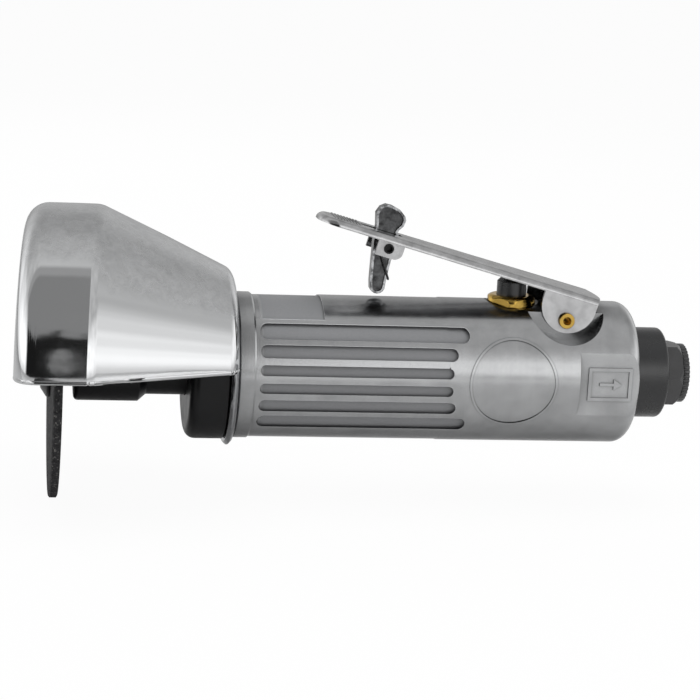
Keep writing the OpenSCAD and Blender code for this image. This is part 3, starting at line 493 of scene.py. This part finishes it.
def lathe(bm, outline, steps):
    """Turns a closed outline of (x, radius) points, in millimetres, round the motor axis."""
    corners = [bm.verts.new(Vector((x, 0, 0)) * MM + Vector((0, 0, 1)) * r * MM) for x, r in outline]
    edges = [bm.edges.new(pair) for pair in zip(corners, corners[1:] + corners[:1])]
    bmesh.ops.spin(bm, geom=corners + edges, cent=(0, 0, 0), axis=X_AXIS, angle=2 * math.pi, steps=steps,
                   use_merge=True)
    bmesh.ops.remove_doubles(bm, verts=bm.verts, dist=WELD)
    bmesh.ops.recalc_face_normals(bm, faces=bm.faces)


def wire_piece(name, path, diameter, body, material):
    """A round wire along a path of points in metres, as a mesh."""
    line = bpy.data.curves.new(name, "CURVE")
    line.dimensions = "3D"
    line.bevel_depth, line.bevel_resolution, line.use_fill_caps = diameter / 2, 4, True
    spline = line.splines.new("POLY")
    spline.points.add(len(path) - 1)
    for point, place in zip(spline.points, path):
        point.co = (*place, 1)
    curve = bpy.data.objects.new(name + "_line", line)
    bpy.context.scene.collection.objects.link(curve)
    mesh = bpy.data.meshes.new_from_object(curve.evaluated_get(bpy.context.evaluated_depsgraph_get()))
    bpy.data.objects.remove(curve)
    bm = bmesh.new()
    bm.from_mesh(mesh)
    bpy.data.meshes.remove(mesh)
    bmesh.ops.remove_doubles(bm, verts=bm.verts, dist=CAD_WELD)
    return piece(name, bm, body, material, smooth=60)


def dressed(node, body, material, edge=0.22, angle=32, segments=2):
    """A merged copy of a CAD node with rounded edges, which stands for the node."""
    bm = merged(node)
    if edge:
        round_edges(bm, edge * MM, angle, segments)
    thing = piece(node + "_finished", bm, body, material)
    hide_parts(node)
    return thing


def paint(node, material):
    """A finish on a CAD node that shows as it is."""
    mesh = NODES[node].data
    mesh.materials.clear()
    mesh.materials.append(material)


def box(node):
    """Lowest and highest corner of a CAD node, in millimetres."""
    low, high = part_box(node)
    return low / MM, high / MM


class Make:
    """What the operators share: they show in the search and can be undone."""
    bl_options = {"REGISTER", "UNDO"}

    def execute(self, context):
        self.make(context)
        return {"FINISHED"}


class GRINDER_OT_camera(Make, bpy.types.Operator):
    """Sets the camera at the photograph's viewing angle"""
    bl_idname = "grinder.camera"
    bl_label = "Camera"

    def make(self, context):
        target, distance = Vector((-0.09788, 0, 0.00471)), 0.6195
        azimuth, elevation, roll = (math.radians(a) for a in (-9.54, 11.32, 3.06))
        back = Vector((math.sin(azimuth) * math.cos(elevation), -math.cos(azimuth) * math.cos(elevation),
                       math.sin(elevation)))
        lens = bpy.data.cameras.new("camera")
        lens.lens, lens.sensor_width = 112.42, 36
        lens.clip_start, lens.clip_end = 0.01, 60
        camera = bpy.data.objects.new("camera", lens)
        camera.location = target + back * distance
        camera.rotation_mode = "QUATERNION"
        turn = Matrix.Rotation(roll, 3, back)
        camera.rotation_quaternion = (turn @ (-back).to_track_quat("-Z", "Y").to_matrix()).to_quaternion()
        context.scene.collection.objects.link(camera)
        context.scene.camera = camera


class GRINDER_OT_stage(Make, bpy.types.Operator):
    """Lays the pale floor and sets up the lamps and the studio round the grinder"""
    bl_idname = "grinder.stage"
    bl_label = "Stage"

    def make(self, context):
        below = Matrix.Translation((-0.1, 0, CAD_BOX[0].z - 0.5 * MM))
        bm = bmesh.new()
        bmesh.ops.create_grid(bm, x_segments=1, y_segments=1, size=20, matrix=below)
        mesh = bpy.data.meshes.new("floor")
        bm.to_mesh(mesh)
        bm.free()
        floor = bpy.data.objects.new("floor", mesh)
        context.scene.collection.objects.link(floor)
        mesh.materials.append(self.floor_finish())
        self.lamp("overhead", (-0.1, -0.1, 0.9), 0.8, 0.8, 5.5)
        self.lamp("right", (0.75, -0.75, 0.3), 0.5, 0.45, 2.2)
        self.lamp("behind", (-0.2, 0.9, 0.6), 0.6, 0.5, 2.5)
        self.studio(context)
        context.scene.view_settings.view_transform = "Standard"

    def floor_finish(self):
        """Pale matte paper that the camera sees nearly white. Metal mirrors it dimmed, with a dark card."""
        material, tree, shader, place = blank("pale studio paper")
        if not tree:
            return material
        path = add(tree, "ShaderNodeLightPath", {})
        mirrored = path.outputs["Is Glossy Ray"]
        spot = add(tree, "ShaderNodeSeparateXYZ", {"Vector": place})
        card_x = -0.225
        aside = maths(tree, "ABSOLUTE", maths(tree, "ADD", spot.outputs["X"], -card_x))
        card = product(tree, between(tree, aside, 1.0, 0.0, 0.06, 0.08),
                       between(tree, spot.outputs["Y"], 1.0, 0.0, -0.08, -0.05))
        tone = shaded(tree, colours().floor, 0.98, 1.02, spots(tree, place, 30))
        nearby = between(tree, spot.outputs["Y"], 1.0, 0.64, -0.3, -0.2)
        dim = mixed(tree, mirrored, 1.0, mixed(tree, card, nearby, 0.02))
        tree.links.new(tinted(tree, 1.0, tone, dim, "MULTIPLY"), shader.inputs["Base Color"])
        shader.inputs["Roughness"].default_value = 0.9
        shader.inputs["Specular IOR Level"].default_value = 0.1
        seen = product(tree, path.outputs["Is Camera Ray"], 0.95)
        white = add(tree, "ShaderNodeEmission", {"Color": (1, 1, 1, 1), "Strength": 1.0})
        paper = add(tree, "ShaderNodeMixShader", {0: seen, 1: shader.outputs[0], 2: white.outputs[0]})
        tree.links.new(paper.outputs[0], tree.nodes["Material Output"].inputs["Surface"])
        return material

    def lamp(self, name, place, width, height, power):
        """A soft lamp that is aimed at the grinder's middle and not mirrored in its metal."""
        aim = (-0.1, 0, 0)
        light = bpy.data.lights.new(name, "AREA")
        light.shape, light.size, light.size_y, light.energy = "RECTANGLE", width, height, power
        thing = bpy.data.objects.new(name, light)
        thing.location = place
        thing.rotation_euler = (Vector(aim) - Vector(place)).to_track_quat("-Z", "Y").to_euler()
        thing.visible_glossy = False
        bpy.context.scene.collection.objects.link(thing)

    def studio(self, context):
        """A cloth tent, bright at eye level and dim behind, and a dark room beyond its gap in front."""
        world = bpy.data.worlds.new("studio")
        context.scene.world = world
        world.use_nodes = True
        tree = world.node_tree
        out = tree.nodes["Background"]
        ray = add(tree, "ShaderNodeTexCoord", {}).outputs["Generated"]
        parts = add(tree, "ShaderNodeSeparateXYZ", {"Vector": ray})
        rise = between(tree, parts.outputs["Z"], 0.0, 1.0, -1.0, 1.0)
        cloth = add(tree, "ShaderNodeValToRGB", {"Fac": rise})
        ramp = cloth.color_ramp
        ramp.interpolation = "EASE"
        peak = 1.5
        stops = [(0.0, 0.34), (0.40, 0.5), (0.49, 0.9), (0.57, 1.5), (0.66, 1.4), (0.74, 0.98), (0.83, 0.6),
                 (0.9, 0.56), (1.0, 0.62)]
        while len(ramp.elements) < len(stops):
            ramp.elements.new(0.5)
        for element, (at, level) in zip(ramp.elements, stops):
            element.position, element.color = at, (level / peak, level / peak, level / peak, 1)
        right = between(tree, parts.outputs["X"], 0.0, 1.0, 0.095, 0.105)
        left = between(tree, parts.outputs["X"], 1.0, 0.0, -0.8, -0.7)
        front = between(tree, parts.outputs["Y"], 0.0, 1.0, -0.16, -0.1)
        closed = maths(tree, "MAXIMUM", maths(tree, "MAXIMUM", left, right), front)
        behind = product(tree, between(tree, parts.outputs["Y"], 1.0, 0.72, 0.1, 0.5),
                         between(tree, parts.outputs["Y"], 1.0, 0.5, 0.7, 0.95))
        sag = add(tree, "ShaderNodeTexNoise", {"Vector": ray, "Scale": 5.0, "Detail": 2.0}).outputs["Fac"]
        folds = product(tree, between(tree, sag, 0.84, 1.04, 0.35, 0.65),
                        between(tree, parts.outputs["X"], 1.0, 0.82, 0.5, 0.8))
        tent = tinted(tree, 1.0, cloth.outputs["Color"], product(tree, behind, folds), "MULTIPLY")
        squeezed = add(tree, "ShaderNodeMapping", {"Vector": ray, "Scale": (8, 1, 1)}).outputs[0]
        forms = add(tree, "ShaderNodeTexNoise", {"Vector": squeezed, "Scale": 6.0, "Detail": 3.0,
                                                 "Distortion": 0.8}).outputs["Fac"]
        # A window, seen dimly across the dark lower half of the room
        window, narrowness = (0.03, 0, 0.18), (42, 0, 5.6)
        offset = add(tree, "ShaderNodeVectorMath", {0: ray, 1: window}, operation="SUBTRACT").outputs[0]
        scaled = add(tree, "ShaderNodeVectorMath", {0: offset, 1: narrowness},
                     operation="MULTIPLY").outputs[0]
        reach = add(tree, "ShaderNodeVectorMath", {0: scaled}, operation="LENGTH").outputs["Value"]
        pane = product(tree, between(tree, reach, 1.0, 0.0, 0.85, 1.0),
                       between(tree, forms, 0.3, 1.0, 0.42, 0.56))
        lower = between(tree, pane, 0.008, 0.16, 0, 1)
        upper = between(tree, parts.outputs["Y"], 0.17, 0.24, -0.29, -0.24)
        ragged = maths(tree, "MULTIPLY_ADD", forms, 0.5, parts.outputs["Z"])
        room = mixed(tree, between(tree, ragged, 0.0, 1.0, 0.7, 0.75), lower, upper)
        lit = tinted(tree, closed, room, tent)
        path = add(tree, "ShaderNodeLightPath", {})
        white = (1 / peak, 1 / peak, 1 / peak, 1)
        tree.links.new(tinted(tree, path.outputs["Is Camera Ray"], lit, white), out.inputs["Color"])
        out.inputs["Strength"].default_value = peak


class GRINDER_OT_guard(Make, bpy.types.Operator):
    """Spins the guard's sheet into a drum and cone, cuts it at half height and rolls its hem"""
    bl_idname = "grinder.guard"
    bl_label = "Guard"

    def make(self, context):
        size = sizes()
        low, high = box("guard_shell")
        wall = size.sheet / MM
        set_back, gap, cover, hem_height, fade = 0.8, 0.4, 1.35, 1.3, 12
        proud = size.bead / MM - wall / 2 + 0.2
        front = low.x + proud + set_back
        plate = box("guard_plate")[1].z
        back = box("motor_housing")[0].x - gap
        drum = high.z
        crease = front + size.drum / MM
        shoulder = plate + cover
        corner, turn = size.rear_corner / MM, back - size.rear_corner / MM
        run, fall = turn - crease, drum - shoulder
        slope = math.acos(corner / math.hypot(run, fall)) - math.atan2(run, fall)
        tip = drum - (back - crease) * math.tan(slope)
        bm = bmesh.new()
        middle = (front + size.front_corner / MM + crease) / 2
        outline = [(front, size.lip / MM), (front, drum), (middle, drum + size.bulge / MM), (crease, drum),
                   ((crease + back) / 2, (drum + tip) / 2 + 0.15), (back, tip), (back, plate)]
        corners = [bm.verts.new((x * MM, -r * MM, 0)) for x, r in outline]
        for pair in zip(corners, corners[1:]):
            bm.edges.new(pair)
        for place, offset, steps in ((corners[1], size.front_corner, 8), (corners[3], size.crease, 5),
                                     (corners[5], size.rear_corner * 0.64, 8)):
            bmesh.ops.bevel(bm, geom=[place], offset=offset, offset_type="OFFSET", segments=steps,
                            profile=0.5, affect="VERTICES", material=-1)
        cut = (low.z + hem_height) * MM
        hems = self.cut_lines(corners[0], cut)
        bmesh.ops.spin(bm, geom=list(bm.verts) + list(bm.edges), cent=(0, 0, 0), axis=X_AXIS,
                       angle=-math.pi, steps=96)
        bmesh.ops.remove_doubles(bm, verts=bm.verts, dist=WELD)
        bmesh.ops.bisect_plane(bm, geom=list(bm.verts) + list(bm.edges) + list(bm.faces), dist=1e-7,
                               plane_co=(0, 0, cut), plane_no=(0, 0, 1), clear_inner=True)
        bmesh.ops.recalc_face_normals(bm, faces=bm.faces)
        if sum(radial(f.calc_center_median()).dot(f.normal) for f in bm.faces) < 0:
            bmesh.ops.reverse_faces(bm, faces=bm.faces)
        bmesh.ops.solidify(bm, geom=list(bm.faces), thickness=size.sheet)
        bmesh.ops.recalc_face_normals(bm, faces=bm.faces)
        round_edges(bm, 0.35 * MM, 50, 3)
        for hem in hems:
            self.roll(bm, hem, wall / 2 * MM, size.bead)
        for vert in bm.verts:
            ahead = min(1, max(0, (back - vert.co.x / MM) / fade))
            vert.co.x += size.skew * vert.co.y / high.y / MM * ahead
        guard = piece("guard_sheet", bm, "guard", guard_chrome(), smooth=50)
        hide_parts("guard_shell")

    def cut_lines(self, start, cut):
        """Where the cut plane meets the outline once it is spun, from front to back on each side."""
        chain, before = [start], None
        while True:
            beside = [e.other_vert(chain[-1]) for e in chain[-1].link_edges]
            ahead = [v for v in beside if v is not before]
            if not ahead:
                break
            before = chain[-1]
            chain.append(ahead[0])
        radii = [(v.co.x, abs(v.co.y)) for v in chain]
        return [[Vector((x, side * math.sqrt(r * r - cut * cut), cut)) for x, r in radii]
                for side in (-1, 1)]

    def roll(self, bm, line, depth, radius):
        """A rolled bead along the cut edge, in the middle of the sheet's thickness."""
        inner = []
        for i, point in enumerate(line):
            heading = (line[min(i + 1, len(line) - 1)] - line[max(i - 1, 0)]).normalized()
            across = Vector((0, 0, 1)).cross(heading)
            middle = Vector((-0.16, 0, point.z))
            if across.dot(middle - point) < 0:
                across = -across
            inner.append(point + across * depth)
        made = bmesh.ops.create_circle(bm, cap_ends=True, segments=12, radius=radius)
        heading = (inner[1] - inner[0]).normalized()
        turn = heading.to_track_quat("Z", "Y").to_matrix().to_4x4()
        bmesh.ops.transform(bm, matrix=Matrix.Translation(inner[0]) @ turn, verts=made["verts"])
        face = next(f for f in made["verts"][0].link_faces)
        for i in range(1, len(inner)):
            ahead = inner[min(i + 1, len(inner) - 1)] - inner[i - 1]
            out = bmesh.ops.extrude_face_region(bm, geom=[face], use_keep_orig=i == 1)
            ring = [v for v in out["geom"] if isinstance(v, bmesh.types.BMVert)]
            new = ahead.normalized()
            bend = heading.rotation_difference(new).to_matrix().to_4x4()
            bmesh.ops.transform(bm, verts=ring, matrix=Matrix.Translation(inner[i]) @ bend
                                @ Matrix.Translation(-inner[i - 1]))
            heading = new
            face = next(f for f in out["geom"] if isinstance(f, bmesh.types.BMFace))


class GRINDER_OT_wheel(Make, bpy.types.Operator):
    """Turns the cutting wheel, with a worn rim, a metal ring at its bore and its clamping parts"""
    bl_idname = "grinder.wheel"
    bl_label = "Cutting wheel"

    def make(self, context):
        low, high = box("cutting_wheel")
        radius, bore, corner = high.z, 4.8, 0.35
        bm = bmesh.new()
        face = [bore, 12, 20, 26, 31, 35, radius - 0.5]
        outline = [(low.x, r) for r in face]
        outline += [(low.x + corner, radius), (high.x - corner, radius)]
        outline += [(high.x, r) for r in reversed(face)]
        lathe(bm, outline, 144)
        coarse, fine = 2.2 * MM, 0.9 * MM
        for vert in bm.verts:
            flat = radial(vert.co)
            worn = noise.noise(vert.co / coarse) + 0.5 * noise.noise(vert.co / fine)
            if flat.length > (radius - 1) * MM:
                vert.co -= flat.normalized() * sizes().rim_wear * (0.5 + 0.5 * worn)
        wheel = piece("cutting_disc", bm, "rotor", wheel_grit(), smooth=40)
        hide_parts("cutting_wheel")
        dressed("wheel_flange", "rotor", oxide())
        dressed("wheel_spacer", "rotor", oxide())
        dressed("arbor_screw", "rotor", oxide(), edge=0.12)


class GRINDER_OT_spindle(Make, bpy.types.Operator):
    """Finishes the spindle, the clamp nut and the guard's clamping plate"""
    bl_idname = "grinder.spindle"
    bl_label = "Spindle and clamp nut"

    def make(self, context):
        dressed("spindle", "rotor", oxide(), edge=0.2)
        dressed("front_clamp_nut", "housing", oxide(), edge=0.25)
        plate = plated("bright chromed pressing", colours().lock, 0.08, 0.2, 1.6)
        dressed("guard_plate", "guard", plate, edge=0.15)
        paint("spindle_dust_seal", fibrous("grey wool felt", linear("#8d8b86"), 0.5, 0.95))


class GRINDER_OT_housing(Make, bpy.types.Operator):
    """Finishes the cast housing with soft edges and brushed faces"""
    bl_idname = "grinder.housing"
    bl_label = "Housing"

    def make(self, context):
        grip = dressed("motor_housing", "housing", cast_alloy(), edge=sizes().cast_edge / MM,
                       angle=28)
        grip.modifiers.remove(grip.modifiers["even normals"])
        self.true_faces(grip.data)

    def true_faces(self, mesh):
        """Exact normals: a cylinder's on round faces, one on each flat face, and weighted ones between."""
        even, straight, narrow, flat_area = 0.02 * MM, 0.995, 0.16 * MM, 8 * MM * MM
        smooth = math.cos(math.radians(35))

        def is_round(face):
            reach = [radial(mesh.vertices[v].co).length for v in face.vertices]
            outward = face.normal.dot(radial(face.center).normalized())
            return max(reach) - min(reach) < even and outward > straight

        def is_bevel(face):
            around = sum((mesh.vertices[a].co - mesh.vertices[b].co).length for a, b in face.edge_keys)
            return face.area < narrow * around

        meeting = [[] for _ in mesh.vertices]
        for face in mesh.polygons:
            for v in face.vertices:
                meeting[v].append(face)
        round_faces = {face.index for face in mesh.polygons if is_round(face)}
        on_round = {v for index in round_faces for v in mesh.polygons[index].vertices}
        normals = [Vector()] * len(mesh.loops)
        for face in mesh.polygons:
            round_face, bevel = face.index in round_faces, is_bevel(face)
            for i in face.loop_indices:
                place = mesh.loops[i].vertex_index
                out = radial(mesh.vertices[place].co).normalized()
                if round_face or bevel and place in on_round and face.normal.dot(out) > smooth:
                    normals[i] = out
                elif face.area > flat_area:
                    normals[i] = face.normal.copy()
                else:
                    alike = [other for other in meeting[place] if other.normal.dot(face.normal) > smooth]
                    normals[i] = sum((other.normal * other.area for other in alike), Vector()).normalized()
        mesh.normals_split_custom_set(normals)


class GRINDER_OT_lever(Make, bpy.types.Operator):
    """Finishes the throttle lever with soft sheet edges, and its hinge pin"""
    bl_idname = "grinder.lever"
    bl_label = "Throttle lever"

    def make(self, context):
        dressed("throttle_lever", "lever", lever_nickel(), edge=sizes().lever_edge / MM,
                angle=40)
        rod = turned_metal("turned brass rod", colours().brass, 0.1, 0.22, (6, 0.16, 6))
        dressed("lever_pin", "housing", rod, edge=0.18)


class GRINDER_OT_lock(Make, bpy.types.Operator):
    """Finishes the lock and its pin and winds the lock's spring"""
    bl_idname = "grinder.lock"
    bl_label = "Lock and its spring"

    def make(self, context):
        dressed("lock_lever", "lock", lock_chrome(), edge=0.4, angle=40, segments=4)
        dressed("lock_pin", "lever", oxide(), edge=0.1)
        low, high = box("lock_pin")
        pin = Vector(((low.x + high.x) / 2, 0, (low.z + high.z) / 2))
        slope, half, turns, steps = math.radians(15), 1.5, 3, 28
        pin_radius, clearance, wire_radius = 1.4, 0.2, 0.275
        coil, pitch, sheet_arm = pin_radius + clearance + wire_radius, 1.15, 5
        start, y0 = math.radians(205), -half - 0.5
        sweep = 2 * math.pi * turns + start - math.pi / 2 + slope
        y1 = y0 - pitch * sweep / (2 * math.pi)
        hook = Vector((1.45, 0, -9.7))
        first = Vector((coil * math.cos(start), 0, coil * math.sin(start)))
        path = [Vector((hook.x, half, hook.z)), Vector((hook.x, y0 + 0.6, hook.z)),
                Vector((hook.x - 0.05, y0 + 0.2, hook.z + 0.15)), Vector((hook.x - 0.2, y0, hook.z + 0.6))]
        path += [hook.lerp(first, t) + Vector((0, y0, 0)) for t in (0.35, 0.65, 0.9)]
        count = round(sweep / (2 * math.pi) * steps)
        for i in range(count + 1):
            a = start - sweep * i / count
            path.append(Vector((coil * math.cos(a), y0 + (y1 - y0) * i / count, coil * math.sin(a))))
        away = Vector((math.cos(slope), 0, -math.sin(slope)))
        path += [path[-1] + away * sheet_arm * t for t in (0.5, 1)]
        wire = wire_piece("lock_spring_wire", [(p + pin) * MM for p in path], sizes().lock_wire, None,
                          spring_wire())
        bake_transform(wire)
        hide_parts("lock_spring")


class GRINDER_OT_valve(Make, bpy.types.Operator):
    """Finishes the throttle valve with its brass bush, button, seals and coil spring"""
    bl_idname = "grinder.valve"
    bl_label = "Throttle valve"

    def make(self, context):
        dressed("valve_bush", "housing", brass(), edge=0.25)
        dressed("valve_button", "valve", black_plastic(), edge=0.3)
        rubber = satin_dark("black nitrile rubber", linear("#151515"), 0.5, 0.62, 0.3)
        for node in ("button_seal", "valve_seat"):
            paint(node, rubber)
        paint("valve_stem", ground_steel())
        low, high = box("valve_spring")
        radius, turns, steps = 3.1, 5, 28
        middle, wire = (low.x + high.x) / 2, sizes().valve_wire / MM
        bottom, top = low.z + wire / 2, high.z - wire / 2
        path = []
        for i in range(turns * steps + 1):
            a, t = 2 * math.pi * i / steps, i / (turns * steps)
            path.append(Vector((middle + radius * math.cos(a), radius * math.sin(a),
                                bottom + (top - bottom) * t)) * MM)
        coil = wire_piece("valve_spring_wire", path, sizes().valve_wire, "valve",
                          spring_wire())
        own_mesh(coil)
        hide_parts("valve_spring")


class GRINDER_OT_inlet(Make, bpy.types.Operator):
    """Finishes the hexagonal bushing and its knurled ring, and cuts the inlet's thread"""
    bl_idname = "grinder.inlet"
    bl_label = "Air inlet"

    def make(self, context):
        bm = merged("inlet_bushing")
        round_edges(bm, 0.16 * MM, 32, 2)
        gap, hexagon_width, margin = 0.1, 5.3, 0.05
        ring = box("exhaust_collar")[1].x + gap + hexagon_width + margin
        for face in bm.faces:
            face.material_index = int(face.calc_center_median().x / MM > ring)
        bushing = piece("inlet_bushing_finished", bm, "housing", [gunmetal(), oxide()])
        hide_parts("inlet_bushing")
        pitch, bore, deep, mouth, sunk = sizes().thread_pitch / MM, 5.7, 0.75, -1.0, 0.02
        bm = bmesh.new()
        outline = [(mouth, bore + sunk), (mouth - pitch * 0.42, bore - deep),
                   (mouth - pitch * 0.5, bore - deep), (mouth - pitch * 0.92, bore + sunk)]
        corners = [bm.verts.new((x * MM, 0, r * MM)) for x, r in outline]
        edges = [bm.edges.new(pair) for pair in zip(corners, corners[1:])]
        turns, steps = 8, 40
        bmesh.ops.spin(bm, geom=corners + edges, cent=(0, 0, 0), axis=X_AXIS, angle=2 * math.pi * turns,
                       steps=steps * turns, dvec=(-pitch / steps * MM, 0, 0))
        bmesh.ops.recalc_face_normals(bm, faces=bm.faces)
        if sum(radial(f.calc_center_median()).dot(f.normal) for f in bm.faces) > 0:
            bmesh.ops.reverse_faces(bm, faces=bm.faces)
        piece("inlet_thread", bm, "housing", gunmetal(), smooth=30)
        paint("inlet_screen", ground_steel())
        paint("bushing_seal", satin_dark("black nitrile rubber", linear("#151515"), 0.5, 0.62, 0.3))


class GRINDER_OT_collar(Make, bpy.types.Operator):
    """Finishes the turning exhaust collar and its silencer felt"""
    bl_idname = "grinder.collar"
    bl_label = "Exhaust collar"

    def make(self, context):
        dressed("exhaust_collar", "collar", black_plastic(), edge=0.2)
        paint("exhaust_felt", fibrous("grey wool felt", linear("#8d8b86"), 0.5, 0.95))


class GRINDER_OT_motor(Make, bpy.types.Operator):
    """Finishes the motor inside: its cylinder, plates, rotor, vanes and gasket"""
    bl_idname = "grinder.motor"
    bl_label = "Motor"

    def make(self, context):
        steel = ground_steel()
        alloy = turned_metal("machined aluminium plate", linear("#c3c5c8"), 0.28, 0.4)
        for node in ("motor_cylinder", "cylinder_dowel", "rotor"):
            paint(node, steel)
        for node in ("front_end_plate", "rear_end_plate"):
            paint(node, alloy)
        paint("rotor_vanes", fibrous("resin-bonded fibre laminate", linear("#6b3f22"), 0.3, 0.55))
        paint("housing_gasket", fibrous("pressed gasket fibre", linear("#a58f6c"), 0.35, 0.85))


class GRINDER_OT_bearings(Make, bpy.types.Operator):
    """Finishes both ball bearings"""
    bl_idname = "grinder.bearings"
    bl_label = "Ball bearings"

    def make(self, context):
        cage = turned_metal("pressed cage brass", linear("#b39255"), 0.25, 0.4)
        for end in ("front", "rear"):
            for part in ("outer_race", "inner_race", "balls"):
                paint(f"{end}_bearing_{part}", ground_steel())
            paint(f"{end}_bearing_cage", cage)


OPERATORS = (GRINDER_OT_camera, GRINDER_OT_stage, GRINDER_OT_guard, GRINDER_OT_wheel, GRINDER_OT_spindle,
             GRINDER_OT_housing, GRINDER_OT_lever, GRINDER_OT_lock, GRINDER_OT_valve, GRINDER_OT_inlet,
             GRINDER_OT_collar, GRINDER_OT_motor, GRINDER_OT_bearings)


class GRINDER_PT_pieces(bpy.types.Panel):
    """Lists the grinder's sizes, colours and pieces"""
    bl_idname = "GRINDER_PT_pieces"
    bl_label = "Cut-off Grinder"
    bl_space_type = "VIEW_3D"
    bl_region_type = "UI"
    bl_category = "Grinder"

    def draw(self, context):
        for group in (context.scene.grinder_sizes, context.scene.grinder_colours):
            column = self.layout.column(align=True)
            for key in group.__annotations__:
                column.prop(group, key)
        column = self.layout.column(align=True)
        for operator in OPERATORS:
            column.operator(operator.bl_idname)


CLASSES = (GrinderSizes, GrinderColours, *OPERATORS, GRINDER_PT_pieces)


def register():
    for cls in CLASSES:
        bpy.utils.register_class(cls)
    bpy.types.Scene.grinder_sizes = PointerProperty(type=GrinderSizes)
    bpy.types.Scene.grinder_colours = PointerProperty(type=GrinderColours)


def unregister():
    del bpy.types.Scene.grinder_colours
    del bpy.types.Scene.grinder_sizes
    for cls in reversed(CLASSES):
        bpy.utils.unregister_class(cls)


def main():
    register()
    for operator in OPERATORS:
        group, name = operator.bl_idname.split(".")
        getattr(getattr(bpy.ops, group), name)()


if __name__ == "__main__":
    main()
